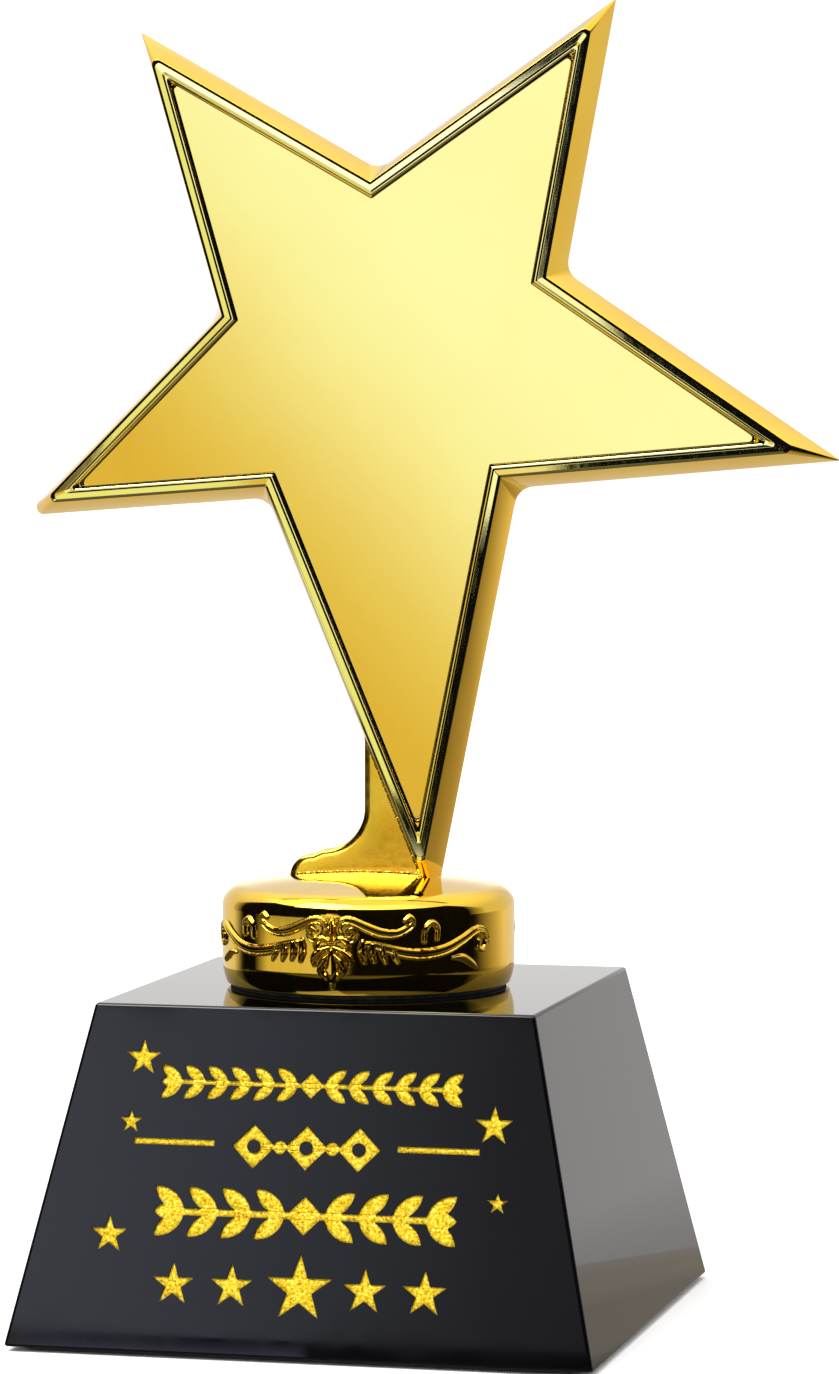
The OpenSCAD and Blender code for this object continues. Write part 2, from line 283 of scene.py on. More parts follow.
# %% Black glass
def black_glass_finish():
    glass = Finish("polished_black_glass", (0.0015, 0.0015, 0.002), roughness=0.03, ior=1.52)
    smear = glass.noise(0.06, detail=4.0, roughness=0.6)
    glass.drive(glass.spread(smear, 0.012, 0.055, 0.4, 0.75), "Roughness")
    cloud = glass.noise(0.02, detail=2.0)
    glass.drive(glass.tint(cloud, [(0.3, (0.001, 0.001, 0.0014)), (0.7, (0.0022, 0.0022, 0.003))]),
                "Base Color")
    glass.bump(glass.noise(0.03, detail=1.0), 0.003)
    return glass.material


black_glass = black_glass_finish()
print("glass finish:", black_glass.name)

# %% [markdown]
# ### Gold foil fill
# The engraving is sandblasted and filled with a bright yellow foil paint. It is granular:
# tiny flakes lie at all angles in small bumps, and their sparkle and shade are also painted
# into the colour as cream and dark brown specks.


# %% Gold foil paint
def foil_finish():
    foil = Finish("granular_gold_fill", (0.95, 0.64, 0.02), metallic=0.35, roughness=0.35)
    painted_sparkle_and_shade = foil.noise(2.2, detail=5.0, roughness=0.7)
    # painted sparkle and shade: the cream specks are painted highlights, the dark brown ones painted
    # shade
    foil.drive(foil.tint(painted_sparkle_and_shade, [(0.34, (0.30, 0.14, 0.001)), (0.45, (0.68, 0.42, 0.004)),
                                 (0.55, (0.90, 0.66, 0.012)), (0.66, (1.0, 0.88, 0.22))]),
               "Base Color")
    foil.drive(foil.spread(painted_sparkle_and_shade, 0.22, 0.5, 0.3, 0.7), "Roughness")
    foil.bump(foil.cells(3.2), 0.05, 0.6)
    foil.bump(foil.noise(1.4, detail=4.0, roughness=0.7), 0.10, 0.8)
    return foil.material


foil_fill = foil_finish()
print("fill finish:", foil_fill.name)

# %% [markdown]
# ### Felt, rubber and steel
# The felt under the block is a mat of short crossed fibres. The gasket is plain matt
# rubber with a little dust. The hidden bolt, washer and screws are bright zinc steel.


# %% Felt, rubber and steel
def felt_finish():
    felt = Finish("pressed_black_felt", (0.012, 0.012, 0.013), roughness=0.95)
    felt.shader.inputs["Sheen Weight"].default_value = 0.35
    fibres = felt.noise(4.0, detail=5.0, roughness=0.75, stretch=(1, 0.25, 1))
    felt.drive(felt.tint(fibres, [(0.35, (0.006, 0.006, 0.007)), (0.7, (0.035, 0.035, 0.037))]),
               "Base Color")
    felt.bump(fibres, 0.12)
    return felt.material


def rubber_finish():
    rubber = Finish("soft_black_rubber", (0.015, 0.015, 0.015), roughness=0.6)
    dust = rubber.noise(0.8, detail=4.0)
    rubber.drive(rubber.tint(dust, [(0.4, (0.012, 0.012, 0.012)), (0.8, (0.04, 0.038, 0.036))]),
                 "Base Color")
    rubber.drive(rubber.spread(dust, 0.5, 0.75), "Roughness")
    rubber.bump(rubber.noise(2.5, detail=3.0), 0.02)
    return rubber.material


def steel_finish():
    steel = Finish("zinc_plated_steel", (0.56, 0.57, 0.6), metallic=1.0, roughness=0.3)
    clouding = steel.noise(0.4, detail=4.0)
    steel.drive(steel.tint(clouding, [(0.35, (0.46, 0.47, 0.5)), (0.7, (0.66, 0.67, 0.69))]),
                "Base Color")
    steel.drive(steel.spread(clouding, 0.22, 0.42), "Roughness")
    steel.bump(steel.noise(2.0, detail=3.0, stretch=(1, 1, 0.1)), 0.006)
    return steel.material


black_felt, gasket_rubber, zinc_steel = felt_finish(), rubber_finish(), steel_finish()
print("other finishes:", black_felt.name, gasket_rubber.name, zinc_steel.name)

# %% [markdown]
# ### Finishing a piece
# Each piece gets its material and rides on the trophy's one body, and the CAD nodes it stands
# in for are hidden. The same few calls serve every piece, so they are one helper.


# %% Finish a piece
def finish_piece(piece, material, slot, *nodes):
    """Gives the piece its finish, lets it ride on the trophy and hides the CAD nodes it replaces."""
    piece.data.materials.clear()
    piece.data.materials.append(material)
    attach(piece, "root")
    if nodes:
        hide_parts(*nodes)
    return piece


# %% [markdown]
# ## The star's outline
# The star has five points of different reach: the lowest is stretched into a leg and the
# right one is a little longer than the rest. Each corner is given by its reach and bearing
# from the star's middle. Every ledge of the rim follows the same outline, moved in or out.

# %% Corners of the star
STAR_X, STAR_Z = 2.9, 156.5
POINT_REACH = [84.2, 70.8, 64.3, 63.3, 62.2]
POINT_BEARING = [-85.2, -12.2, 56.9, 128.0, 202.4]
NOTCH_REACH = [27.8, 30.5, 28.7, 27.5, 28.4]
NOTCH_BEARING = [-43.7, 25.5, 93.2, 165.3, 227.1]
CORNER_STEPS = 14


def star_corners():
    corners = []
    for k in range(5):
        for reach, bearing in ((POINT_REACH[k], POINT_BEARING[k]),
                               (NOTCH_REACH[k], NOTCH_BEARING[k])):
            turn = math.radians(bearing)
            corners.append(Vector((STAR_X + reach * math.cos(turn),
                                   STAR_Z + reach * math.sin(turn))))
    return corners


corners = star_corners()
print("star corners (mm):", [tuple(round(v, 1) for v in c) for c in corners])

# %% [markdown]
# ### Outlines inside and outside
# One function moves the outline in or out and rounds its corners. It always gives the same
# number of points, so any two outlines can be joined by quads, whatever their radii.


# %% Outlines of the star
def edge_normal(a, b):
    """Unit normal of the edge a to b, pointing out of the star."""
    along = (b - a).normalized()
    return Vector((along.y, -along.x))


def star_loop(offset, point_radius, notch_radius):
    """The outline moved outward by offset, with rounded points and rounded notches."""
    loop = []
    for i, corner in enumerate(corners):
        before, after = corners[i - 1], corners[(i + 1) % 10]
        n1, n2 = edge_normal(before, corner), edge_normal(corner, after)
        spread = (n1 + n2) / (1 + n1.dot(n2))
        convex = i % 2 == 0
        radius = point_radius[i // 2] if convex else notch_radius
        side = 1 if convex else -1
        centre = corner + spread * (offset - side * radius)
        a1 = math.atan2(n1.y, n1.x)
        turn = math.atan2(n1.cross(n2), n1.dot(n2))
        for s in range(CORNER_STEPS):
            a = a1 + turn * s / (CORNER_STEPS - 1)
            loop.append(centre + side * radius * Vector((math.cos(a), math.sin(a))))
    return loop


def star_shell(levels):
    """Rows of 3-D points for levels of (offset, depth, point radii, notch radius)."""
    points = []
    for offset, depth, point_radius, notch_radius in levels:
        if not hasattr(point_radius, "__len__"):
            point_radius = [point_radius] * 5
        points += [(p.x, depth, p.y) for p in star_loop(offset, point_radius, notch_radius)]
    return points


LOOP = 10 * CORNER_STEPS
print("points in each loop:", LOOP)

# %% [markdown]
# ## The star casting
# From behind forward: a flat back, a small rounded edge, a side wall that leans inward as
# it comes forward, a rounded outer edge, the flat rim, a rounded inner edge, and a narrow
# ledge down to the polished face. The side wall is softly filleted in the notches at the
# back but nearly sharp at the front, as a die maker would leave it. The rim is drawn as a
# section: short strips, each with a width and a slope. A strip between two short ones of
# the same slope stays flat when the shading is smoothed.

# %% Section of the rim
FLARE = 1.8
RIM_FRONT = star_low[1]
STAR_BACK = star_high[1]
RIM_W = 2.2
FACE_STEP = plate_low[1] - RIM_FRONT
POCKET_FLOOR = plate_high[1]

BACK_POINT_R = [0.5, 0.15, 0.15, 0.15, 1.2]
BACK_NOTCH_R = 3.3
BACK_EDGE_R = 0.4
BACK_INSET = 4.0
NOTCH_R = 0.3

# the rim from the wall's front edge inward: (width in mm, slope in degrees, + leans outward)
RIM_SECTION = [(0.03, 66), (0.04, 46), (0.05, 28), (0.03, 12.5), (0.29, 12.5), (0.03, 12.5),
               (0.03, 5), (0.03, 1.6), (0.74, 1.6), (0.03, 1.6), (0.03, -6), (0.03, -14),
               (0.21, -14), (0.03, -14), (0.03, -6), (0.03, -1.6), (0.09, -1.6), (0.03, -1.6),
               (0.03, -12), (0.12, -30), (0.05, -60)]
# the strips from BAND_ROW inward get the paler face gold, which is a painted highlight
BAND_ROW = 4   # the strips from here inward are polished like the face
print("rim section:", len(RIM_SECTION), "strips,", round(sum(w for w, s in RIM_SECTION), 2), "mm")

# %% [markdown]
# The section becomes levels: an offset from the star's outline, a depth, and the radii of the
# points and notches there. The outline is drawn once at each level and the loops are joined.


# %% Star casting
def slope_rows(section):
    """(inward, forward) rows from a list of (width in mm, slope in degrees)."""
    rows = [(0.0, 0.0)]
    for width, slope_deg in section:
        inward, forward = rows[-1]
        rows.append((inward + width, forward + width * math.tan(math.radians(slope_deg))))
    return rows


def arc_levels(offset, depth, radius, start, end, steps, points, notches):
    """Levels along a rounded edge; angles in degrees, 0 faces outward, 90 forward."""
    made = []
    for k in range(steps + 1):
        a = math.radians(start + (end - start) * k / steps)
        made.append((offset + radius * math.cos(a), depth - radius * math.sin(a), points, notches))
    return made


def rim_levels():
    """Levels across the rim; its highest line just touches the star's front plane."""
    rows = slope_rows(RIM_SECTION)
    top = max(forward for inward, forward in rows)
    return [(-inward, RIM_FRONT + top - forward, max(0.95 - 0.6 * inward, 0.4), NOTCH_R)
            for inward, forward in rows]


wall_lean = math.degrees(math.atan2(FLARE, STAR_BACK - RIM_FRONT))
frame_levels = [(-BACK_INSET, STAR_BACK, 0.4, 3.6)]
frame_levels += arc_levels(FLARE - BACK_EDGE_R, STAR_BACK - BACK_EDGE_R, BACK_EDGE_R, -90,
                           wall_lean, 6, BACK_POINT_R, BACK_NOTCH_R)
rim_start = len(frame_levels)
frame_levels += rim_levels()
rim_end = len(frame_levels) - 1
pocket_top = frame_levels[rim_end][1] + 0.05
frame_levels += [(-RIM_W, pocket_top, 0.5, NOTCH_R), (-RIM_W, POCKET_FLOOR, 0.5, NOTCH_R)]
frame_faces = loop_faces(len(frame_levels), LOOP) + end_caps(len(frame_levels), LOOP)
star_casting = outward(add_piece("star_casting", star_shell(frame_levels), frame_faces))
print("side wall leans", round(wall_lean, 1), "degrees; step to the face", FACE_STEP, "mm")

# %% [markdown]
# The leg would end in a needle below the riser's domed top. It is cut off level with the
# dome where it stands, so its foot is a small flat that meets the riser. The polished strips
# of the rim get the second finish before the cut, while the faces are still in order.


# %% Cut the leg at the dome
def dome_height(x, y):
    """Height of the riser's domed top above the table, in millimetres."""
    return crown_z - DOME_R + math.sqrt(DOME_R ** 2 - x * x - y * y)


def dome_normal(x, y):
    return Vector((x, y, dome_height(x, y) - crown_z + DOME_R)).normalized()


DOME_R = 132.0
LEG_STAND = (10.5, 0.5 * (RIM_FRONT + STAR_BACK))


def cut_at_dome(piece, spot):
    """Removes what lies under the riser's top at this spot and closes the cut."""
    at = Vector((*spot, dome_height(*spot))) * MM
    work = bmesh.new()
    work.from_mesh(piece.data)
    everything = work.verts[:] + work.edges[:] + work.faces[:]
    cut = bmesh.ops.bisect_plane(work, geom=everything, plane_co=at,
                                 plane_no=dome_normal(*spot), clear_inner=True)
    rim = [e for e in cut["geom_cut"] if isinstance(e, bmesh.types.BMEdge)]
    bmesh.ops.contextual_create(work, geom=rim)
    work.to_mesh(piece.data)
    work.free()


finish_piece(star_casting, cast_gold, "gold_plating", "star_frame")
star_casting.data.materials.append(face_gold)
for k in range((rim_start + BAND_ROW) * LOOP, rim_end * LOOP):
    star_casting.data.polygons[k].material_index = 1
cut_at_dome(star_casting, LEG_STAND)
sharpen(star_casting, 35)
print("leg stands at height", round(dome_height(*LEG_STAND), 2), "mm")

# %% [markdown]
# ## The polished face
# A thin flat plate, polished to a mirror, drops into the pocket inside the rim. Its front is
# made of rings that shrink towards the middle, so the shading stays even all the way across,
# which one large many-sided face would not give.

# %% Polished face
FACE_GAP = 0.03
FACE_POINT_R = 0.6
RINGS = 24
face_front = RIM_FRONT + FACE_STEP
# the plate's edge from the back forward: (inset, depth)
face_edge = [(0.0, POCKET_FLOOR), (0.0, face_front + 0.1), (0.03, face_front + 0.03),
             (0.1, face_front), (0.2, face_front)]
face_levels = [(-RIM_W - FACE_GAP - inset, depth, FACE_POINT_R, NOTCH_R)
               for inset, depth in face_edge]
face_points = star_shell(face_levels)
face_faces = loop_faces(len(face_levels), LOOP)
face_faces.append(tuple(range(LOOP)))
edge_row = np.array(face_points[-LOOP:])
middle = np.array([STAR_X, face_front, STAR_Z])
for ring in range(1, RINGS):
    share = 1 - ring / RINGS
    row = middle + (edge_row - middle) * share
    face_points += [tuple(p) for p in row]
face_faces += loop_faces(RINGS, LOOP, first=(len(face_levels) - 1) * LOOP)
face_points.append(tuple(middle))
tip = len(face_points) - 1
inner = tip - LOOP
face_faces += [(inner + i, inner + (i + 1) % LOOP, tip) for i in range(LOOP)]
polished_face = outward(add_piece("polished_face", face_points, face_faces))
finish_piece(polished_face, face_gold, "polished_gold_face", "star_face_plate")
sharpen(polished_face, 30)

# %% [markdown]
# ## The riser's profile
# The riser is turned from tangent curves: a rounded heel, an upright side, a rounded
# shoulder and a shallow dome. Its points are spaced closely where the ornament will be.

# %% Profile of the riser
RISER_R = 23.9
SHOULDER_R = 3.4
HEEL_R = 8.8
HEEL_INSET = 0.8
RISER_WALL = 3.0
CEILING_CUT, FOOT_CUT = 0.5, 0.1
ROW_STEP = 0.1
SHOULDER_STEPS, DOME_STEPS = 30, 34

shoulder_x = RISER_R - SHOULDER_R
shoulder_z = crown_z - DOME_R + math.sqrt((DOME_R - SHOULDER_R) ** 2 - shoulder_x ** 2)
shoulder_end = math.degrees(math.asin(shoulder_x / (DOME_R - SHOULDER_R)))
heel_z = riser_low[2] + math.sqrt(HEEL_R ** 2 - (HEEL_R - HEEL_INSET) ** 2)
heel_start = -math.degrees(math.acos((HEEL_R - HEEL_INSET) / HEEL_R))


def riser_profile():
    """(radius, height) points from the inside of the hollow, round the outside, to the crown."""
    inner_r, foot_r, foot_z = RISER_R - RISER_WALL, RISER_R - HEEL_INSET, riser_low[2]
    made = [(0.0, shoulder_z), (inner_r - CEILING_CUT, shoulder_z),
            (inner_r, shoulder_z - CEILING_CUT), (inner_r, foot_z + FOOT_CUT),
            (inner_r + FOOT_CUT, foot_z), (foot_r - 0.25, foot_z), (foot_r - 0.08, foot_z + 0.06)]
    heel_steps = int(math.radians(-heel_start) * HEEL_R / ROW_STEP) + 1
    for k in range(1, heel_steps):
        a = math.radians(heel_start * (1 - k / heel_steps))
        made.append((RISER_R - HEEL_R + HEEL_R * math.cos(a), heel_z + HEEL_R * math.sin(a)))
    side_steps = int((shoulder_z - heel_z) / ROW_STEP)
    for k in range(side_steps):
        made.append((RISER_R, heel_z + (shoulder_z - heel_z) * k / side_steps))
    for k in range(SHOULDER_STEPS + 1):
        a = math.radians((90 - shoulder_end) * k / SHOULDER_STEPS)
        made.append((shoulder_x + SHOULDER_R * math.cos(a), shoulder_z + SHOULDER_R * math.sin(a)))
    dome_edge = made[-1][0]
    for k in range(1, DOME_STEPS):
        r = dome_edge * (1 - k / DOME_STEPS)
        made.append((r, crown_z - DOME_R + math.sqrt(DOME_R ** 2 - r * r)))
    made.append((0.0, crown_z))
    return made


profile = riser_profile()
print("riser profile points:", len(profile), "shoulder at", round(shoulder_z, 2), "mm")

# %% [markdown]
# ## The scroll ornament
# The ornament is cast in relief on the riser's side: a hanging shell in the middle, and on
# each side an upper scroll, a lower scroll that grows out of acanthus fingers, and a small
# loop. Each part is a stroke: a smooth line with a thickness that swells and tapers. Lines
# are drawn flat, as distance around the side and height above the glass.


# %% Strokes of the ornament
def smooth_line(stops, per_stop=10):
    """A smooth line through (around, height, half width) stops, as many short steps."""
    stops = [np.array(s, float) for s in stops]
    padded = [2 * stops[0] - stops[1], *stops, 2 * stops[-1] - stops[-2]]
    line = []
    for k in range(1, len(padded) - 2):
        p0, p1, p2, p3 = padded[k - 1:k + 3]
        for s in range(per_stop):
            t = s / per_stop
            line.append(0.5 * (2 * p1 + (p2 - p0) * t + (2 * p0 - 5 * p1 + 4 * p2 - p3) * t * t
                               + (3 * p1 - p0 - 3 * p2 + p3) * t ** 3))
    line.append(padded[-2])
    return np.array(line)


# each stop: distance round the side, height above the glass, half the stroke's width, in mm
upper_scroll = [(2.5, 11.1, .28), (3.3, 11.5, .38), (3.9, 10.7, .45), (3.1, 9.7, .5),
                (1.7, 10.0, .5), (1.05, 11.4, .52), (1.7, 12.6, .55), (3.3, 12.7, .6),
                (5.6, 11.7, .7), (8.0, 10.8, .72), (10.4, 10.7, .6), (12.2, 11.5, .5),
                (13.1, 12.5, .42), (12.6, 13.3, .36), (11.8, 12.8, .3)]
lower_scroll = [(4.9, 9.1, .3), (6.6, 8.9, .5), (8.8, 8.3, .65), (12.0, 7.5, .8),
                (15.4, 7.3, .85), (18.9, 7.9, .8), (22.2, 9.3, .7), (24.9, 10.6, .6),
                (26.9, 10.4, .5), (27.7, 8.9, .45), (26.9, 7.4, .4), (25.6, 7.7, .34),
                (25.7, 8.9, .28)]
under_leaf = [(20.2, 6.5, .2), (22.2, 6.4, .5), (24.2, 5.3, .45), (25.2, 4.6, .15)]
small_loop = [(15.0, 9.4, .4), (15.2, 11.2, .42), (16.2, 12.3, .42), (17.3, 11.6, .42),
              (17.3, 9.7, .38)]
fingers = [[(5.0, 9.4, .4), (4.9, 7.9, .62), (5.3, 6.3, .42)],
           [(6.6, 9.0, .42), (6.5, 7.7, .6), (6.9, 6.4, .38)],
           [(8.2, 8.6, .42), (8.3, 7.4, .58), (8.7, 6.2, .34)],
           [(10.0, 8.2, .4), (10.2, 7.1, .5), (10.7, 6.1, .28)]]
shell_side = [(0.5, 9.5, .35), (1.7, 9.9, .5), (2.6, 9.2, .5), (2.3, 8.1, .4), (1.4, 8.4, .3)]
shell_leaf = [(0.4, 8.5, .4), (1.7, 7.9, .6), (2.9, 6.7, .6), (2.9, 5.7, .35)]
shell_petal = [(0.5, 7.2, .4), (1.5, 6.1, .62), (1.9, 4.8, .5), (1.0, 3.6, .3)]
stalk = [(0.0, 12.7, .38), (0.0, 11.2, .5), (0.0, 9.6, .45)]
drop = [(0.0, 8.0, .35), (0.0, 6.6, .75), (0.0, 4.9, 1.05), (0.0, 3.4, .75), (0.0, 2.1, .3)]
paired_strokes = [(upper_scroll, True), (lower_scroll, True), (under_leaf, False),
                  (small_loop, False), (shell_side, False), (shell_leaf, False),
                  (shell_petal, False)] + [(f, False) for f in fingers]
single_strokes = [(stalk, False), (drop, False)]
print("strokes on each side:", len(paired_strokes), "in the middle:", len(single_strokes))

# %% [markdown]
# A point of the side wall is raised by how deep it lies inside a stroke. The cross-section
# is a steep half round; the two long scrolls are hollowed along their middle, so that they
# show as a pair of bright lines. Where strokes cross, the higher one wins, exactly as
# overlapping leaves do in a carved model.

# %% Height of the ornament
RELIEF = 0.86                        # the highest any stroke rises
THIN_RELIEF, RELIEF_BY_WIDTH = 0.12, 1.25   # a thin stroke rises less
ROUNDNESS = 0.45                     # 0.5 is a half circle, less is steeper at the sides
HOLLOW_SHARE = 0.5                   # how much of the height the hollow takes away
HOLLOW_EDGE, HOLLOW_BLEND = 0.70, 0.22      # where it starts, in half widths
HOLLOW_NONE, HOLLOW_FULL = 0.33, 0.48       # half widths in mm that have no or a full hollow


def stroke_height(around, height, stops, hollowed):
    """Relief height in millimetres of one stroke at arrays of places."""
    line = smooth_line(stops)
    best = np.full(around.shape, 9.0)
    width = np.full(around.shape, 0.5)
    for (x0, y0, w0), (x1, y1, w1) in zip(line[:-1], line[1:]):
        dx, dy = x1 - x0, y1 - y0
        t = ((around - x0) * dx + (height - y0) * dy) / max(dx * dx + dy * dy, 1e-9)
        t = np.clip(t, 0, 1)
        w = np.maximum(w0 + (w1 - w0) * t, 0.05)
        d = np.hypot(around - x0 - t * dx, height - y0 - t * dy) / w
        nearer = d < best
        best = np.where(nearer, d, best)
        width = np.where(nearer, w, width)
    inside = np.clip(1 - best ** 2, 0, 1)
    full = np.minimum(RELIEF, THIN_RELIEF + RELIEF_BY_WIDTH * width)
    raised = full * inside ** ROUNDNESS
    if hollowed:
        hollow = HOLLOW_SHARE * full * np.clip((HOLLOW_EDGE - best) / HOLLOW_BLEND, 0, 1)
        raised -= hollow * np.clip((width - HOLLOW_NONE) / (HOLLOW_FULL - HOLLOW_NONE), 0, 1)
    return np.maximum(raised, 0)


def ornament_height(around, height):
    """Relief height of the whole ornament, mirrored about its middle."""
    total = np.zeros(around.shape)
    for stops, hollowed in single_strokes + paired_strokes:
        total = np.maximum(total, stroke_height(np.abs(around), height, stops, hollowed))
    return total


shell_middle = ornament_height(np.zeros(1), np.full(1, 5.0))
print("relief in the middle of the shell:", round(float(shell_middle[0]), 2), "mm")

# %% [markdown]
# ## The riser casting
# The profile is swept round in columns. Columns are close together across the two ornaments
# (front and back) and wider apart on the plain sides between them. Each point of the outer
# wall below the shoulder is pushed out by the ornament's height.

# %% Grid of the riser
ORNAMENT_HALF = 70.0
FINE_TURN = 0.24
COARSE_TURN = 2.0
INNER_ROWS = 6         # the profile's first points lie inside the hollow
RELIEF_UP = 0.9        # how far the ornament may climb on to the shoulder
RELIEF_IN = 1.2        # and how far in from the upright side


def column_angles():
    """Bearings in degrees of the columns; 0 is the front, at -Y."""
    fine = np.arange(-ORNAMENT_HALF, ORNAMENT_HALF, FINE_TURN)
    plain = np.arange(ORNAMENT_HALF, 180 - ORNAMENT_HALF, COARSE_TURN)
    half = np.concatenate([fine, plain])
    return np.radians(np.concatenate([half, half + 180]))


turns = column_angles()
radii, heights = (np.array(v) for v in zip(*profile[1:-1]))
grid_turn, grid_r = np.meshgrid(turns, radii)
grid_z = np.meshgrid(turns, heights)[1]
outside = np.arange(len(radii)) >= INNER_ROWS
local_turn = (grid_turn + np.pi / 2) % np.pi - np.pi / 2
raised = ornament_height(local_turn * RISER_R, grid_z - glass_top)
on_side = outside[:, None] & (grid_z < shoulder_z + RELIEF_UP) & (grid_r > RISER_R - RELIEF_IN)
grid_r = grid_r + np.where(on_side, raised, 0.0)
riser_points = np.stack([grid_r * np.sin(grid_turn), -grid_r * np.cos(grid_turn), grid_z], -1)
riser_points = riser_points.reshape(-1, 3)
print("highest relief", round(float(raised.max()), 2), "mm; columns", len(turns))

# %% [markdown]
# The grid is joined by quads. Two single points, one under the hollow's ceiling and one at the
# crown, close it with fans of triangles.

# %% Riser casting
count, rows = len(turns), len(radii)
riser_faces = loop_faces(rows, count)
riser_points = np.vstack([riser_points, [[0, 0, profile[0][1]], [0, 0, crown_z]]])
under, crown = rows * count, rows * count + 1
riser_faces += [(under, (i + 1) % count, i) for i in range(count)]
top_row = (rows - 1) * count
riser_faces += [(crown, top_row + i, top_row + (i + 1) % count) for i in range(count)]
riser_casting = outward(add_piece("riser_casting", riser_points, riser_faces))
sharpen(riser_casting, 75)
finish_piece(riser_casting, cast_gold, "gold_plating", "riser")

# %% [markdown]
# ## The stem and foot
# Behind the leg stands an upright plate with a toe that sweeps out to the left. Its outline
# is one closed line; the edges are rounded by stepping the outline inward as the depth
# changes, and the bottom follows the dome of the riser.

# %% Outline of the stem and foot
STEM_LEFT = -1.5
STEM_W = 11.0
STEM_EDGE = 0.45
SWEEP_R = 7.0
SWEEP_Z = 76 + SWEEP_R
TOE_X, TOE_Z, TOE_R = -10.4, 71.4, 3.8


def arc_points(cx, cz, r, a0, a1, steps):
    """Points on an arc, angles in degrees."""
    return [Vector((cx + r * math.cos(math.radians(a0 + (a1 - a0) * k / steps)),
                    cz + r * math.sin(math.radians(a0 + (a1 - a0) * k / steps))))
            for k in range(steps + 1)]


def stem_outline():
    """Closed outline, counter-clockwise from the front, starting along the bottom."""
    right = STEM_LEFT + STEM_W
    end_r = STEM_W / 2
    top = stem_high[2] - end_r
    foot = [Vector((x, 70.0)) for x in np.linspace(TOE_X - TOE_R, right, 40)]
    made = foot + [Vector((right, z)) for z in np.linspace(73, top, 12)]
    made += arc_points(STEM_LEFT + end_r, top, end_r, 8, 172, 20)
    made += [Vector((STEM_LEFT, z)) for z in np.linspace(top, SWEEP_Z + 0.5, 12)]
    made += arc_points(STEM_LEFT - SWEEP_R, SWEEP_Z, SWEEP_R, 0, -90, 18)
    made += arc_points(TOE_X, TOE_Z, TOE_R, 88, 176, 14)
    return made


def inset_outline(outline, d):
    """The outline moved inward by d; sharp corners are held back from running away."""
    moved = []
    for i, p in enumerate(outline):
        n1 = edge_normal(outline[i - 1], p)
        n2 = edge_normal(p, outline[(i + 1) % len(outline)])
        moved.append(p - d * (n1 + n2) / max(1 + n1.dot(n2), 0.4))
    return moved


stem_line = stem_outline()
print("stem outline points:", len(stem_line))

# %% [markdown]
# The front swells softly from its edge, which gives it a dark outline, and the back has a
# plain rounded edge. Points that would lie under the dome are lifted on to it.

# %% Stem and foot
stem_front, stem_back = stem_low[1], stem_high[1]
# how the front swells from its edge inward: (width in mm, slope in degrees)
SWELL = [(0.05, 76), (0.08, 60), (0.12, 45), (0.16, 31), (0.2, 20), (0.25, 12), (0.3, 6)]
swell_rows = slope_rows(SWELL)
swell_top = swell_rows[-1][1]
stem_levels = [(inward, stem_front + swell_top - forward) for inward, forward in swell_rows[::-1]]
for k in range(5):
    a = math.radians(90 * k / 4)
    stem_levels.append((STEM_EDGE * (1 - math.cos(a)), stem_back - STEM_EDGE * (1 - math.sin(a))))
stem_points = []
for inset, depth in stem_levels:
    for p in inset_outline(stem_line, inset):
        ground = dome_height(p.x, depth)
        stem_points.append((p.x, depth, max(p.y, ground)))
stem_faces = loop_faces(len(stem_levels), len(stem_line))
stem_faces += end_caps(len(stem_levels), len(stem_line))
stem_plate = outward(add_piece("stem_and_foot", stem_points, stem_faces))
sharpen(stem_plate, 40)
finish_piece(stem_plate, brushed_gold, "gold_plating", "stem_foot")

# %% [markdown]
# Where the leg meets the stem, and where the foot meets the riser, a thin run of filler was
# left by the join. It is an uneven little bead, thicker in one place and thinner in another.


# %% Filler beads
BEAD_SIDES = 9


def filler_bead(name, path, radius, seed):
    """A lumpy bead along a list of 3-D points, thin at both ends."""
    points = []
    for k, p in enumerate(path):
        lump = radius * (1 + 0.8 * noise.noise(Vector((k * 0.83, seed, 0))))
        sway = 0.35 * radius * noise.noise(Vector((k * 0.23, seed, 9)))
        taper = min(1.0, 0.3 + 0.2 * min(k, len(path) - 1 - k))
        along = (path[min(k + 1, len(path) - 1)] - path[max(k - 1, 0)]).normalized()
        side = along.cross(Vector((0, 1, 0))).normalized()
        for j in range(BEAD_SIDES):
            a = math.tau * j / BEAD_SIDES
            points.append(p + side * (sway + lump * taper * math.cos(a))
                          + Vector((0, 1, 0)) * lump * taper * math.sin(a))
    faces = loop_faces(len(path), BEAD_SIDES) + end_caps(len(path), BEAD_SIDES)
    bead = outward(add_piece(name, points, faces))
    return finish_piece(bead, brushed_gold, "gold_plating", "stem_foot")


LEG_SEAM_START, LEG_SEAM_LENGTH = (8.1, 72.4), 24.6
FOOT_SEAM_END = 9.4
leg_edge = (corners[-1] - corners[0]).normalized()   # up the left side of the leg
leg_seam = [Vector((LEG_SEAM_START[0] + leg_edge.x * t, stem_front + 0.1,
                    LEG_SEAM_START[1] + leg_edge.y * t))
            for t in np.linspace(0, LEG_SEAM_LENGTH, 110)]
foot_seam = [Vector((x, stem_front + 0.25, dome_height(x, stem_front) + 0.06))
             for x in np.linspace(TOE_X - TOE_R + 0.5, FOOT_SEAM_END, 100)]
filler_bead("leg_seam", leg_seam, 0.36, 3.0)
filler_bead("foot_seam", foot_seam, 0.30, 5.0)

# %% [markdown]
# ## The plane of the engraved face
# The front of the block slopes back. All the engraving is drawn flat in the plane of that
# face: one axis runs across it and the other up the slope. This helper places a drawn point
# in the room, at a given depth below the polished glass.

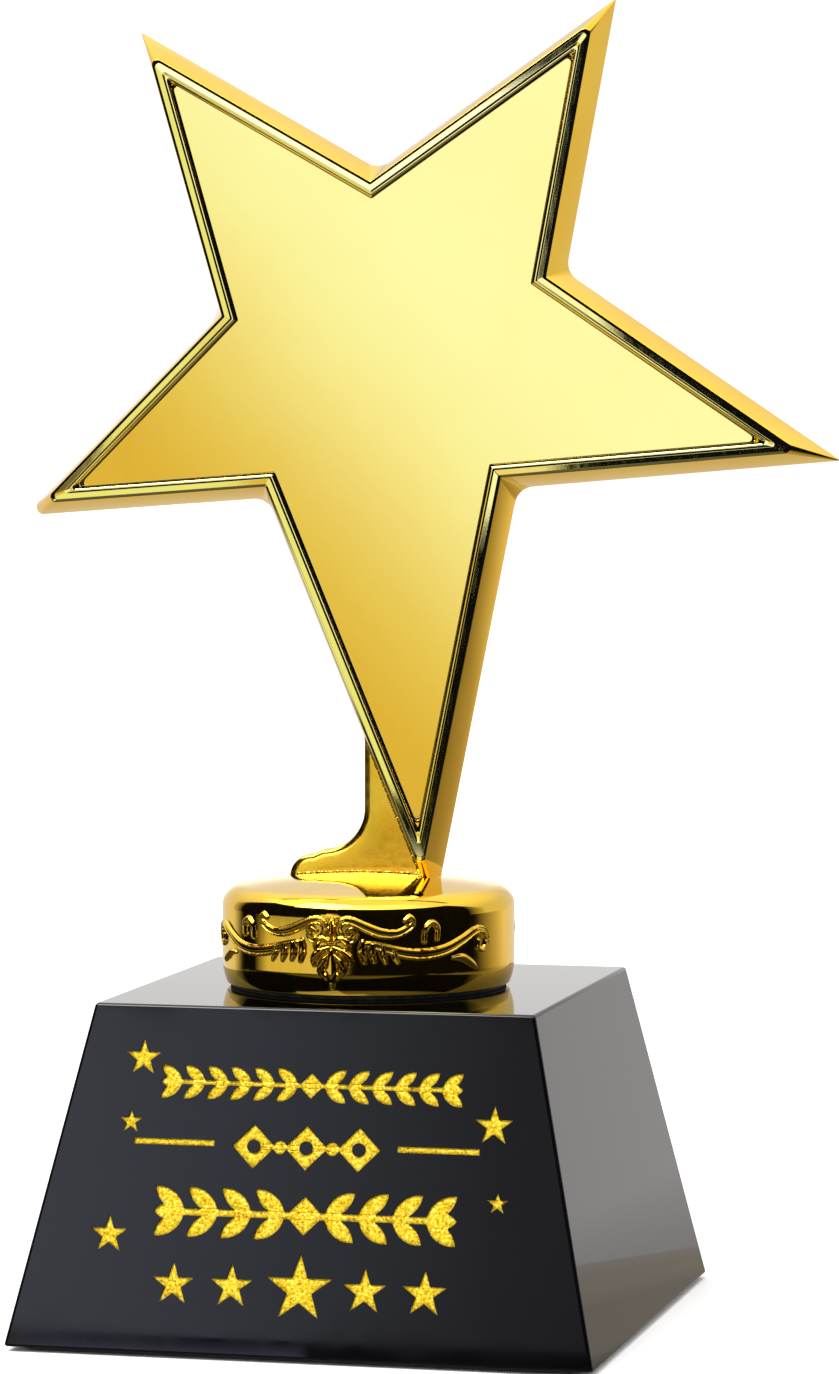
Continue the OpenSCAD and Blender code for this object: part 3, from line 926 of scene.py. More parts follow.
# %% Plane of the engraved face
FOOT_HALF = 47.5
TOP_HALF = 35.75
CORNER_CUT = 0.55
EDGE_BEVEL = 0.45
ENGRAVE_DEPTH = 0.9
FILL_BELOW = 0.3
GLASS_H = glass_top - glass_foot
slope = (FOOT_HALF - TOP_HALF) / GLASS_H
lean = math.atan(slope)
up_slope = np.array([0, math.sin(lean), math.cos(lean)])
face_out = np.array([0, -math.cos(lean), math.sin(lean)])
face_foot = np.array([0, -FOOT_HALF, glass_foot])


def on_face(across, up, depth=0.0):
    """A point of the front face, depth millimetres below the glass."""
    return face_foot + np.array([across, 0, 0]) + up * up_slope - depth * face_out


def drawing_centre(node):
    """Where the middle of an engraved fill lies: (across, up), in the face's plane."""
    low, high = node_box(node)
    mid = 0.5 * (low + high)
    mid_depth = 0.5 * (FILL_BELOW + ENGRAVE_DEPTH)
    return mid[0], (mid[2] - glass_foot + mid_depth * math.sin(lean)) / math.cos(lean)


print("front face leans back", round(math.degrees(lean), 2), "degrees")

# %% [markdown]
# ## Drawings for the engraving
# Each drawing is a list of closed outlines. Outlines may overlap, as the leaves of the
# garland do; an outline marked as a hole is left as clear glass.


# %% Plain outlines
def circle_line(x, y, r, steps=28):
    return [(x + r * math.cos(math.tau * k / steps), y + r * math.sin(math.tau * k / steps))
            for k in range(steps)]


def box_line(x, y, w, h, turn=0.0):
    c, s = math.cos(turn), math.sin(turn)
    return [(x + c * px * w / 2 - s * py * h / 2, y + s * px * w / 2 + c * py * h / 2)
            for px, py in ((-1, -1), (1, -1), (1, 1), (-1, 1))]


def leaf_line(x, y, length, width, turn, steps=9):
    """Pointed leaf from (x, y): the overlap of two circles."""
    r = (length ** 2 + width ** 2) / 4 / width
    half = math.asin(length / 2 / r)
    made = []
    for side in (-1, 1):
        for k in range(steps):
            a = -half + 2 * half * k / steps
            px = length / 2 - side * r * math.sin(a)
            py = side * (r * math.cos(a) - (r - width / 2))
            made.append((x + px * math.cos(turn) - py * math.sin(turn),
                         y + px * math.sin(turn) + py * math.cos(turn)))
    return made


def star_line(x, y, width):
    """A regular star with one point up, round (x, y)."""
    r = width / 2 / math.cos(math.radians(18))
    made = []
    for k in range(10):
        reach = r if k % 2 == 0 else 0.382 * r
        a = math.tau * k / 10
        made.append((x + reach * math.sin(a), y + reach * math.cos(a)))
    return made


print("points in a small star:", len(star_line(0, 0, 5)))

# %% [markdown]
# ### Bands, stars and rules
# From those shapes come the two leaf bands, the chain of lozenges, the stars and the two thin
# rules. Each drawing is placed by the box of its own CAD node.


# %% Drawings for every engraving
RULE_H = 1.0


def leaf_garland(x, y, reach, height, pairs):
    """Paired leaves that open away from a lozenge in the middle."""
    pitch = reach / (pairs + 0.5)
    leaf_l = 1.15 * pitch
    leaf_w = 0.42 * leaf_l
    tilt = math.asin(min(0.9, (height - leaf_w) / 2 / leaf_l))
    made = [box_line(x, y, 2 * reach - pitch, 0.11 * height),
            box_line(x, y, 0.42 * height, 0.42 * height, math.pi / 4)]
    for side in (1, -1):
        turn = 0 if side > 0 else math.pi
        for k in range(1, pairs + 1):
            start = x + side * (k - 0.42) * pitch
            made += [leaf_line(start, y, leaf_l, leaf_w, turn + tilt),
                     leaf_line(start, y, leaf_l, leaf_w, turn - tilt)]
        made.append(leaf_line(x + side * (reach - 0.9 * pitch), y, 0.9 * pitch, leaf_w, turn))
    return made, []


def lozenge_string(x, y, height):
    """Three pierced lozenges and two beads on a thin line."""
    outer = 12 - height / 2
    side = height / math.sqrt(2)
    made = [box_line(x, y, 2 * outer, 0.8)]
    made += [box_line(x + k * outer, y, side, side, math.pi / 4) for k in (-1, 0, 1)]
    made += [circle_line(x + k * outer / 2, y, 1.1) for k in (-1, 1)]
    return made, [circle_line(x + k * outer, y, 0.15 * height) for k in (-1, 0, 1)]


def small_star(node):
    """A star as wide as its node; a star's middle is not the middle of its box."""
    low, high = node_box(node)
    width = high[0] - low[0]
    x, y = drawing_centre(node)
    tip_r = width / 2 / math.cos(math.radians(18))
    return [star_line(x, y - tip_r * (1 - math.cos(math.radians(36))) / 2, width)], []


def short_rule(node):
    low, high = node_box(node)
    x, y = drawing_centre(node)
    return [box_line(x, y, high[0] - low[0], RULE_H)], []


STAR_FILLS = ["row_star_far_left", "row_star_left", "row_star_middle", "row_star_right",
              "row_star_far_right", "left_star_upper", "left_star_middle", "left_star_lower",
              "right_star_upper", "right_star_lower"]
drawings = {name: small_star(name) for name in STAR_FILLS}
drawings.update({name: short_rule(name) for name in ("left_rule", "right_rule")})
drawings["upper_leaf_band"] = leaf_garland(*drawing_centre("upper_leaf_band"), 24.5, 7.0, 6)
drawings["lower_leaf_band"] = leaf_garland(*drawing_centre("lower_leaf_band"), 24.5, 10.4, 4)
drawings["middle_lozenge_chain"] = lozenge_string(*drawing_centre("middle_lozenge_chain"), 7.0)
print({name: tuple(round(v, 1) for v in drawing_centre(name)) for name in drawings})

# %% [markdown]
# ## From drawings to triangles
# A constrained triangulation fills flat areas with triangles that respect every drawn line.
# Triangles whose middle lies inside a drawing become the gold fill; the rest stay glass.


# %% Triangulation
def inside_line(points, line):
    """Which of the points lie inside one closed outline."""
    x, y = points[:, 0], points[:, 1]
    hits = np.zeros(len(points), bool)
    for (x0, y0), (x1, y1) in zip(line, line[1:] + line[:1]):
        if y0 == y1:
            continue
        crosses = (y0 > y) != (y1 > y)
        hits ^= crosses & (x < (x1 - x0) * (y - y0) / (y1 - y0) + x0)
    return hits


def inside_drawing(points, drawing):
    solid, holes = drawing
    hits = np.zeros(len(points), bool)
    for line in solid:
        hits |= inside_line(points, line)
    for line in holes:
        hits &= ~inside_line(points, line)
    return hits


def triangulate(lines, loose=()):
    """Points and triangles that respect all the closed lines."""
    points, edges = [], []
    for line in lines:
        first = len(points)
        points += [Vector(p) for p in line]
        edges += [(first + k, first + (k + 1) % len(line)) for k in range(len(line))]
    points += [Vector(p) for p in loose]
    result = delaunay_2d_cdt(points, edges, [], 0, 1e-5)
    return np.array([tuple(p) for p in result[0]]), [tuple(f) for f in result[2]]


def middles_of(points, triangles):
    return np.array([points[list(t)].mean(0) for t in triangles])


def distance_to_lines(points, edges_a, edges_b):
    """Distance from each point to the nearest of many line pieces."""
    best = np.full(len(points), 1e9)
    for a, b in zip(edges_a, edges_b):
        along = b - a
        t = np.clip(((points - a) @ along) / max(along @ along, 1e-12), 0, 1)
        best = np.minimum(best, np.hypot(*(points - a - t[:, None] * along).T))
    return best


def border_edges(triangles):
    """Directed edges that belong to just one triangle."""
    seen = {(a, b) for t in triangles for a, b in zip(t, t[1:] + t[:1])}
    return [(a, b) for a, b in seen if (b, a) not in seen]


print("border of one triangle:", border_edges([(0, 1, 2)]))

# %% [markdown]
# ## The gold fills
# Paint filled into an engraved pocket pulls up at the walls and dries into a grainy, slightly
# domed skin. Each fill is triangulated with extra points inside, raised with its distance
# from the wall, then roughened with a seeded noise.

# %% Gold fills
GRAIN_STEP = 0.24
EDGE_DEPTH = 0.42      # how far below the glass the paint meets the wall
SKIN_BULGE, SKIN_REACH = 0.17, 0.7
SMOOTH_EDGE = 0.05     # no grain nearer to the wall than this
GRAINS = [(0.07, 0, 3.1), (0.045, 7, 7.3)]   # (height, seed, fineness)


def grain_points(drawing, step):
    """Evenly spread points well inside a drawing."""
    everything = np.array([p for line in drawing[0] for p in line])
    low, high = everything.min(0), everything.max(0)
    xs = np.arange(low[0], high[0], step)
    ys = np.arange(low[1], high[1], step * 0.87)
    grid = np.array([(x + (step / 2 if r % 2 else 0), y) for r, y in enumerate(ys) for x in xs])
    return grid[inside_drawing(grid, drawing)]


def triangles_inside(drawing, loose=()):
    """Points and triangles that fill a drawing."""
    flat, triangles = triangulate(drawing[0] + drawing[1], loose)
    hits = inside_drawing(middles_of(flat, triangles), drawing)
    return flat, [t for t, hit in zip(triangles, hits) if hit]


def make_fill(node, drawing):
    """The foil paint in one engraved pocket."""
    flat, kept = triangles_inside(drawing)
    border = border_edges(kept)
    wall_a, wall_b = flat[[a for a, b in border]], flat[[b for a, b in border]]
    spots = grain_points(drawing, GRAIN_STEP)
    spots = spots[distance_to_lines(spots, wall_a, wall_b) > 2 * SMOOTH_EDGE]
    flat, kept = triangles_inside(drawing, spots)
    away = distance_to_lines(flat, wall_a, wall_b)
    points = []
    for (x, y), d in zip(flat, away):
        skin = SKIN_BULGE * min(1.0, d / SKIN_REACH) ** 0.5
        grain = 0.0
        if d >= SMOOTH_EDGE:
            grain = sum(h * noise.noise(Vector((x, y, seed)) * fine) for h, seed, fine in GRAINS)
        points.append(on_face(x, y, EDGE_DEPTH - skin - grain))
    front = len(points)
    points += [on_face(x, y, ENGRAVE_DEPTH - 0.01) for x, y in flat]
    faces = [tuple(t) for t in kept]
    faces += [tuple(front + k for k in reversed(t)) for t in kept]
    faces += [(b, a, front + a, front + b) for a, b in border_edges(kept)]
    piece = outward(add_piece(node + "_foil", points, faces))
    loose = bmesh.new()
    loose.from_mesh(piece.data)
    bmesh.ops.delete(loose, geom=[v for v in loose.verts if not v.link_faces], context="VERTS")
    loose.to_mesh(piece.data)
    loose.free()
    sharpen(piece, 50)
    return finish_piece(piece, foil_fill, "gold_fill", node)


for node, drawing in drawings.items():
    make_fill(node, drawing)

# %% [markdown]
# ## The glass block
# The block is a low pyramid with its point cut off, ground flat on every side. Its edges are
# softened by a narrow polished round. The front face is triangulated round the drawings, and
# the walls of every pocket run back into the glass.


# %% Rings of the block
def rounded_square(half, corner, z, steps=4):
    """Ring of points round a square with rounded corners, from the front left."""
    ring = []
    for turn in range(4):
        c, s = (1, 0, -1, 0)[turn], (0, 1, 0, -1)[turn]
        for k in range(steps + 1):
            a = math.radians(-90 + 90 * k / steps)
            x = half - corner + corner * math.cos(a)
            y = -half + corner + corner * math.sin(a)
            ring.append((c * x - s * y, s * x + c * y, z))
    return ring


def side_half(z):
    """Half width of the block at a height above the table."""
    return FOOT_HALF - slope * (z - glass_foot)


BEVEL_STEPS = 4
levels = []
for k in range(BEVEL_STEPS + 1):
    a = math.radians(90 * k / BEVEL_STEPS)
    z = glass_foot + EDGE_BEVEL * (1 - math.cos(a))
    levels.append((side_half(z) - EDGE_BEVEL * (1 - math.sin(a)), z))
for k in range(BEVEL_STEPS + 1):
    a = math.radians(90 * k / BEVEL_STEPS)
    z = glass_top - EDGE_BEVEL * (1 - math.sin(a))
    levels.append((side_half(z) - EDGE_BEVEL * (1 - math.cos(a)), z))
rings = [rounded_square(half, CORNER_CUT, z) for half, z in levels]
ring_count = len(rings[0])
block_points = [p for ring in rings for p in ring]
block_faces = loop_faces(len(rings), ring_count)
lower, upper = BEVEL_STEPS * ring_count, (BEVEL_STEPS + 1) * ring_count
front_left = ring_count - 1
front_quad = (lower + front_left, lower, upper, upper + front_left)
block_faces = [f for f in block_faces if set(f) != set(front_quad)]
print("block rings:", len(rings), "points each:", ring_count)

# %% [markdown]
# The front quad was left out above. In its place come the triangles round the drawings, the
# floors of the pockets deeper in the glass, and the walls that join the two.

# %% Engraved front face
SHANK_HOLE_R = 2.8
HEAD_HOLE_R = 9.0
HEAD_HOLE_H = 14.0
HOLE_STEPS = 48
WELD = 0.004


def add_triangles(points, faces, flat, kept, place):
    """Adds flat triangles to a mesh; place turns (x, y) into a 3-D point."""
    first = len(points)
    points += [tuple(place(x, y)) for x, y in flat]
    faces += [tuple(first + k for k in t) for t in kept]
    return first


def face_edge_points():
    """Corners of the flat part of the front face, in its own plane."""
    made = []
    for z, side in ((levels[BEVEL_STEPS][1], -1), (levels[BEVEL_STEPS][1], 1),
                    (levels[BEVEL_STEPS + 1][1], 1), (levels[BEVEL_STEPS + 1][1], -1)):
        made.append((side * (side_half(z) - CORNER_CUT), (z - glass_foot) / math.cos(lean)))
    return made


outline = face_edge_points()
all_lines = [outline] + [line for d in drawings.values() for line in d[0] + d[1]]
flat, triangles = triangulate(all_lines)
middles = middles_of(flat, triangles)
pocket = np.zeros(len(triangles), bool)
for drawing in drawings.values():
    pocket |= inside_drawing(middles, drawing)
glass_tris = [t for t, hit in zip(triangles, pocket) if not hit]
pocket_tris = [t for t, hit in zip(triangles, pocket) if hit]
first = add_triangles(block_points, block_faces, flat, glass_tris, on_face)
deep = add_triangles(block_points, block_faces, flat, pocket_tris,
                     lambda x, y: on_face(x, y, ENGRAVE_DEPTH))
block_faces += [(first + a, first + b, deep + b, deep + a) for a, b in border_edges(pocket_tris)]
print("glass triangles:", len(glass_tris), "pocket triangles:", len(pocket_tris))

# %% [markdown]
# A bolt passes up through the block, so it is drilled: a wide hole for the bolt's head from
# below and a narrow one for the shank. None of it shows once the felt is on.


# %% Drill and close the block
def drilled_face(ring, hole_r, z):
    """A flat face of the block with a round hole in its middle."""
    flat_ring = [(p[0], p[1]) for p in ring]
    hole = circle_line(0, 0, hole_r, HOLE_STEPS)
    flat_points, tris = triangulate([flat_ring, hole])
    hits = inside_line(middles_of(flat_points, tris), hole)
    kept = [t for t, hit in zip(tris, hits) if not hit]
    add_triangles(block_points, block_faces, flat_points, kept, lambda x, y: (x, y, z))


def hole_wall(r0, z0, r1, z1):
    """The wall of a hole between two circles."""
    first_point = len(block_points)
    for r, z in ((r0, z0), (r1, z1)):
        block_points.extend((x, y, z) for x, y in circle_line(0, 0, r, HOLE_STEPS))
    block_faces.extend(loop_faces(2, HOLE_STEPS, first=first_point))


def on_rounding(face):
    """True for the narrow faces of the rounded edges, which are shaded smooth."""
    steepest = max(abs(face.normal.x), abs(face.normal.y))
    return face.calc_area() < 3e-4 and abs(face.normal.z) < 0.995 and steepest < 0.975


drilled_face(rings[0], HEAD_HOLE_R, glass_foot)
drilled_face(rings[-1], SHANK_HOLE_R, glass_top)
hole_wall(HEAD_HOLE_R, glass_foot, HEAD_HOLE_R, glass_foot + HEAD_HOLE_H)
hole_wall(HEAD_HOLE_R, glass_foot + HEAD_HOLE_H, SHANK_HOLE_R, glass_foot + HEAD_HOLE_H)
hole_wall(SHANK_HOLE_R, glass_foot + HEAD_HOLE_H, SHANK_HOLE_R, glass_top)
glass_block = add_piece("glass_block", block_points, block_faces, smooth=False)
work = bmesh.new()
work.from_mesh(glass_block.data)
bmesh.ops.remove_doubles(work, verts=work.verts, dist=WELD * MM)
bmesh.ops.delete(work, geom=[v for v in work.verts if not v.link_faces], context="VERTS")
bmesh.ops.recalc_face_normals(work, faces=work.faces)
for face in work.faces:
    face.smooth = on_rounding(face)
open_edges = sum(1 for e in work.edges if len(e.link_faces) != 2)
work.to_mesh(glass_block.data)
work.free()
finish_piece(glass_block, black_glass, "black_glass", "base_block")
print("open edges in the block:", open_edges)

# %% [markdown]
# ## Gasket and felt
# A thin black rubber ring keeps the metal off the glass, and a felt pad keeps the glass off
# the table. The ring is a small section turned round, with its edges pressed a little uneven.

# %% Rubber gasket
GASKET_R, GASKET_HOLE_R = 22.6, 19.9
GASKET_COLUMNS = 160
GASKET_WOBBLE = 0.03
gasket_mid = 0.5 * (gasket_low[2] + gasket_high[2])
# the ring's section as (radius, height), with its edges rounded by a tenth or two
section = [(GASKET_HOLE_R, gasket_low[2] + 0.1), (GASKET_HOLE_R + 0.1, gasket_low[2]),
           (GASKET_R - 0.2, gasket_low[2]), (GASKET_R - 0.06, gasket_low[2] + 0.08),
           (GASKET_R, gasket_mid), (GASKET_R - 0.06, gasket_high[2] - 0.08),
           (GASKET_R - 0.2, gasket_high[2]), (GASKET_HOLE_R + 0.1, gasket_high[2]),
           (GASKET_HOLE_R, gasket_high[2] - 0.1)]
gasket_points = []
for k in range(GASKET_COLUMNS):
    a = math.tau * k / GASKET_COLUMNS
    wobble = GASKET_WOBBLE * noise.noise(Vector((math.cos(a), math.sin(a), 0)) * 6)
    gasket_points += [((r + wobble) * math.cos(a), (r + wobble) * math.sin(a), z)
                      for r, z in section]
gasket_faces = loop_faces(GASKET_COLUMNS, len(section))
last = (GASKET_COLUMNS - 1) * len(section)
gasket_faces += [(last + i, last + (i + 1) % len(section), (i + 1) % len(section), i)
                 for i in range(len(section))]
rubber_ring = outward(add_piece("rubber_gasket", gasket_points, gasket_faces))
sharpen(rubber_ring, 60)
finish_piece(rubber_ring, gasket_rubber, "gasket_rubber", "riser_gasket")

# %% [markdown]
# The felt is cut square with round corners and bulges a little between its pressed edges.

# %% Felt sheet
FELT_CORNER = 3.0
# the edge from below upward: (inset in mm, share of the felt's thickness)
FELT_ROWS = [(0.25, 0.0), (0.06, 0.125), (0.0, 0.5), (0.05, 0.875), (0.2, 1.0)]
felt_points = []
for inset, share in FELT_ROWS:
    z = felt_low[2] + share * (felt_high[2] - felt_low[2])
    felt_points += rounded_square(felt_high[0] - inset, FELT_CORNER, z, steps=8)
felt_count = len(felt_points) // len(FELT_ROWS)
felt_faces = loop_faces(len(FELT_ROWS), felt_count) + end_caps(len(FELT_ROWS), felt_count)
felt_sheet = outward(add_piece("felt_sheet", felt_points, felt_faces))
sharpen(felt_sheet, 50)
finish_piece(felt_sheet, black_felt, "black_felt", "felt_pad")

# %% [markdown]
# The bolt, its washer and the two screws are hidden inside, so the CAD shapes are kept as
# they are and only get their steel finish.

# %% Steel fasteners
for name in ("clamp_bolt", "bolt_washer", "foot_screws"):
    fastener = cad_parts[name]
    fastener.data.materials.clear()
    fastener.data.materials.append(zinc_steel)
    print(name, "keeps its CAD shape")

# %% [markdown]
# ## The camera
# The camera stands a little to the right of the front and slightly above, far enough away that
# the star keeps its true shape. It comes before the room, because what a mirror shows depends
# on where it is seen from. Colours are shown as they are, with no film curve.

# %% Camera
CAMERA_TURN, CAMERA_RISE = 13.674, 3.218
CAMERA_DISTANCE = 857.45
LOOK_RIGHT, LOOK_HEIGHT = 8.326, 103.04
turn, rise = math.radians(CAMERA_TURN), math.radians(CAMERA_RISE)
look_at = Vector((LOOK_RIGHT * math.cos(turn), LOOK_RIGHT * math.sin(turn), LOOK_HEIGHT))
away = Vector((math.sin(turn) * math.cos(rise), -math.cos(turn) * math.cos(rise), math.sin(rise)))
eye = look_at + away * CAMERA_DISTANCE
camera_data = bpy.data.cameras.new("studio_camera")
camera_data.sensor_fit = "HORIZONTAL"
camera_data.sensor_width = 36
camera_data.lens = 225.33
camera_data.clip_start = 0.01
camera = bpy.data.objects.new("studio_camera", camera_data)
camera.location = eye * MM
camera.rotation_euler = (-away).to_track_quat("-Z", "Y").to_euler()
bpy.context.scene.collection.objects.link(camera)
bpy.context.scene.camera = camera
bpy.context.scene.view_settings.view_transform = "Standard"
print("camera at", tuple(round(v, 4) for v in camera.location))

# %% [markdown]
# ## The studio
# Mirror-like metal and glass show the room more than themselves, so a room is built for them
# out of glowing sheets that only reflections can see. Lamps alone would leave a mirror black,
# with a few bright squares in it. The sheets' paint gives off light and mirrors none.


# %% Studio paint
def studio_paint(name, colour, strength=1.0):
    """A paint that glows evenly, or a plain matt one when strength is 0."""
    paint = bpy.data.materials.new(name)
    paint.use_nodes = True
    shader = paint.node_tree.nodes["Principled BSDF"]
    shader.inputs["Base Color"].default_value = (*colour, 1) if strength == 0 else (0, 0, 0, 1)
    shader.inputs["Roughness"].default_value = 1.0
    shader.inputs["Specular IOR Level"].default_value = 0.0
    shader.inputs["Emission Color"].default_value = (*colour, 1)
    shader.inputs["Emission Strength"].default_value = strength
    return paint


def reflected_only(sheet):
    """Lets a sheet show in mirror surfaces and nowhere else."""
    sheet.visible_camera = False
    sheet.visible_diffuse = False
    sheet.visible_shadow = False
    return sheet


print("materials before the studio:", len(bpy.data.materials))

# %% [markdown]
# ### Glowing sheets
# A sheet is a grid of points with a colour kept at each of them, in an attribute named "glow".
# Blender blends the colours between the points, so a short function of the place is enough to
# paint a whole wall with soft changes.

# %% Glowing sheets
BLACK = (0.004, 0.004, 0.005)


def glowing_sheet(name, rows, colour_at):
    """A sheet through rows of points; colour_at(x, y, z) gives the glow at each of them."""
    paint = studio_paint(name, BLACK)
    tree = paint.node_tree
    spots = tree.nodes.new("ShaderNodeAttribute")
    spots.attribute_name = "glow"
    tree.links.new(spots.outputs["Color"], tree.nodes["Principled BSDF"].inputs["Emission Color"])
    across = len(rows[0])
    points = [p for row in rows for p in row]
    faces = [(a, a + 1, a + 1 + across, a + across)
             for r in range(len(rows) - 1) for a in range(r * across, (r + 1) * across - 1)]
    sheet = add_piece(name, points, faces)
    sheet.data.materials.append(paint)
    glow = sheet.data.attributes.new("glow", "FLOAT_COLOR", "POINT")
    for spot, point in zip(glow.data, points):
        spot.color = (*colour_at(*point), 1)
    return reflected_only(sheet)


def soft(value, start, end):
    """0 before start, 1 after end, and an even slope between them."""
    return min(1.0, max(0.0, (value - start) / (end - start)))


def mix(first, second, share):
    return tuple((1 - share) * a + share * b for a, b in zip(first, second))


def along_stops(stops, at):
    """Colour at one place along a list of (place, colour) stops."""
    places = [place for place, colour in stops]
    return tuple(float(np.interp(at, places, [colour[k] for place, colour in stops]))
                 for k in range(3))


print("a third of the way from black to white:", mix((0, 0, 0), (1, 1, 1), soft(1, 0, 3)))

# %% [markdown]
# ### Places in the room
# Walls and table are laid out round the trophy, so their points are given as a bearing, where
# 0 degrees is the front and + turns to the right, and a distance.


# %% Bearings
def bearing_point(degrees, distance, z):
    a = math.radians(degrees)
    return (distance * math.sin(a), -distance * math.cos(a), z)


def bearing_of(x, y):
    return math.degrees(math.atan2(x, -y))


print("a point straight in front:", bearing_point(0, 1000, 0))

# %% [markdown]
# ### The dark band
# A black band stands round the front half of the room. It draws the black lines along every
# rounded edge and gives the round riser its black half. At both ends it sinks and fades into
# the colour of the room, so that the riser's flanks stay golden.

# %% Dark band
DARK_DISTANCE = 4600.0
DARK_END = 118
DARK_FOOT, DARK_SUNK, DARK_FULL = -18, 17, 43    # degrees above the horizon
ROOM = (0.62, 0.60, 0.56)


def dark_top(turn):
    """Degrees above the horizon where the dark band ends."""
    full = min(soft(turn, -114, -88), 1 - soft(turn, 92, 114))
    return DARK_SUNK + (DARK_FULL - DARK_SUNK) * full


def band_colour(x, y, z):
    turn = bearing_of(x, y)
    return mix(BLACK, ROOM, max(soft(-turn, 104, DARK_END), soft(turn, 100, DARK_END)))


def band_point(turn, share):
    rise = DARK_FOOT + share * (dark_top(turn) - DARK_FOOT)
    return bearing_point(turn, DARK_DISTANCE, DARK_DISTANCE * math.tan(math.radians(rise)))


glowing_sheet("dark_band", [[band_point(t, share) for t in range(-DARK_END, DARK_END + 1, 2)]
                            for share in (0, 0.5, 1)], band_colour)

# %% [markdown]
# ### The room
# A dome a long way off stands for walls and ceiling: grey at eye level, white overhead, and
# bright low down straight behind the trophy. High in front it has a wide window with a narrow,
# very bright strip inside it. The strip makes the sparkling lines on the ornament and along
# the riser's shoulder.

# %% Room
ROOM_DISTANCE = 12000.0
ROOM_RISES = [-12, -6, 0, 3, 6, 9, 13, 18, 24, 30, 38, 46, 49, 50.5, 54, 55.5, 58, 66, 72, 78, 90]
EYE_LEVEL, LEFT_BACK, OVERHEAD, LOW_BEHIND = 0.74, 0.10, 0.44, 0.45
WINDOW_GLOW, STRIP_GLOW = 1.1, 6.0


def room_colour(x, y, z):
    """Brightness in front of the trophy, beside, behind and above it, slightly warm."""
    turn, rise = bearing_of(x, y), math.degrees(math.atan2(z, math.hypot(x, y)))
    behind = 1 - soft(abs(abs(turn - CAMERA_TURN) - 180), 5, 16)
    window = (1 - soft(abs(turn + 20), 60, 100)) * soft(rise, 38, 46) * (1 - soft(rise, 58, 72))
    strip = (1 - soft(abs(turn + 18), 26, 34)) * soft(rise, 49, 50.5) * (1 - soft(rise, 54, 55.5))
    level = EYE_LEVEL + LEFT_BACK * soft(-turn, 100, 160) + OVERHEAD * soft(rise, 19, 46)
    level += LOW_BEHIND * behind * (1 - soft(rise, 5, 11))
    level += WINDOW_GLOW * window + STRIP_GLOW * strip
    return (level, 0.975 * level, 0.955 * level)


def dome_point(turn, rise):
    a = math.radians(rise)
    return bearing_point(turn, ROOM_DISTANCE * math.cos(a), ROOM_DISTANCE * math.sin(a))


glowing_sheet("room", [[dome_point(t, r) for t in range(-180, 181, 4)] for r in ROOM_RISES],
              room_colour)

# %% [markdown]
# ### The table
# The lower parts of the metal mirror the table. In front it is black, apart from one pale
# patch to the left of the middle that makes the riser's front left golden. It is pale close to
# the trophy on the right, and wherever it lies behind. The sheet lies a hair above the floor,
# which mirrors can't see.

# %% Table
PALE_FRONT, PALE_BACK = (0.74, 0.72, 0.66), (0.80, 0.76, 0.755)
NEAR_BACK, NEAR_FRONT = (0.60, 0.57, 0.56), (0.10, 0.095, 0.09)
SIDE_NEAR, SIDE_FAR = (0.50, 0.44, 0.36), (0.86, 0.78, 0.68)
NEAR_END = 400
TABLE_Z = 0.02
FRONT_REACH = [1, 60, 120, 180, 250, 330, 400, 435, 475, 560, 640, 700, 760, 880]
BACK_REACH = [1, 150, 400, 1500, 5000]


def table_behind(x, y, z):
    return mix(NEAR_BACK, PALE_BACK, soft(math.hypot(x, y), 150, NEAR_END))


def table_colour(x, y, z):
    """The black front with its pale patch, and the sides that lead to the pale back."""
    turn, reach = bearing_of(x, y), math.hypot(x, y)
    patch = soft(turn, -84, -70) * (1 - soft(turn, -10, 0))
    patch *= soft(reach, 435, 475) * (1 - soft(reach, 640, 760))
    colour = mix(NEAR_FRONT if reach < NEAR_END else BLACK, PALE_FRONT, patch)
    near_right = 0.8 * soft(turn, 40, 85) * (1 - soft(reach, 150, 330))
    colour = mix(colour, mix(SIDE_NEAR, SIDE_FAR, soft(reach, 360, 600)),
                 max(soft(turn, 106, 145), near_right))
    return mix(colour, table_behind(x, y, z), max(soft(turn, 150, 156), soft(-turn, 102, 116)))


glowing_sheet("table_front", [[bearing_point(t, r, TABLE_Z) for t in range(-118, 155, 3)]
                              for r in FRONT_REACH], table_colour)
glowing_sheet("table_back", [[bearing_point(t, r, TABLE_Z) for t in range(152, 243, 3)]
                             for r in BACK_REACH], table_behind)

# %% [markdown]
# ### The card in front of the star
# The face of the star is a flat mirror that looks a little to the left of the front. A card
# stands exactly where it looks, so it fills the face. Along its diagonal it fades from warm
# amber at the lower left to white at the upper right. The colour stops are measured on the
# star's face and carried out to the card, along the lines of sight from the camera.

# %% Colours along the star card
CARD_DISTANCE = 2000.0
CARD_LEFT, CARD_RIGHT, CARD_LOW, CARD_HIGH = -800.0, -250.0, -130.0, 444.0
AMBER_STOPS = [(-56, (0.74, 0.47, 0.10)), (-37, (0.81, 0.60, 0.22)), (-23, (0.88, 0.72, 0.42)),
               (-10, (0.94, 0.85, 0.65)), (3, (0.97, 0.945, 0.86)), (16, (1.0, 0.985, 0.975)),
               (26, (1.03, 1.0, 1.0))]


def card_share(x, z):
    """How far along the card's diagonal a place is, from 0 to 1."""
    return 0.5 * ((x - CARD_LEFT) / (CARD_RIGHT - CARD_LEFT)
                  + (z - CARD_LOW) / (CARD_HIGH - CARD_LOW))


spread = 1 + CARD_DISTANCE / (face_front - eye.y)
mirror_x = STAR_X * spread - eye.x * (spread - 1)
mirror_z = STAR_Z * spread - eye.z * (spread - 1)
share_per_mm = 0.25 * spread * (1 / (CARD_RIGHT - CARD_LEFT) + 1 / (CARD_HIGH - CARD_LOW))
card_stops = [(card_share(mirror_x, mirror_z) + d * share_per_mm, colour)
              for d, colour in AMBER_STOPS]
print("card stops:", [round(share, 3) for share, colour in card_stops])

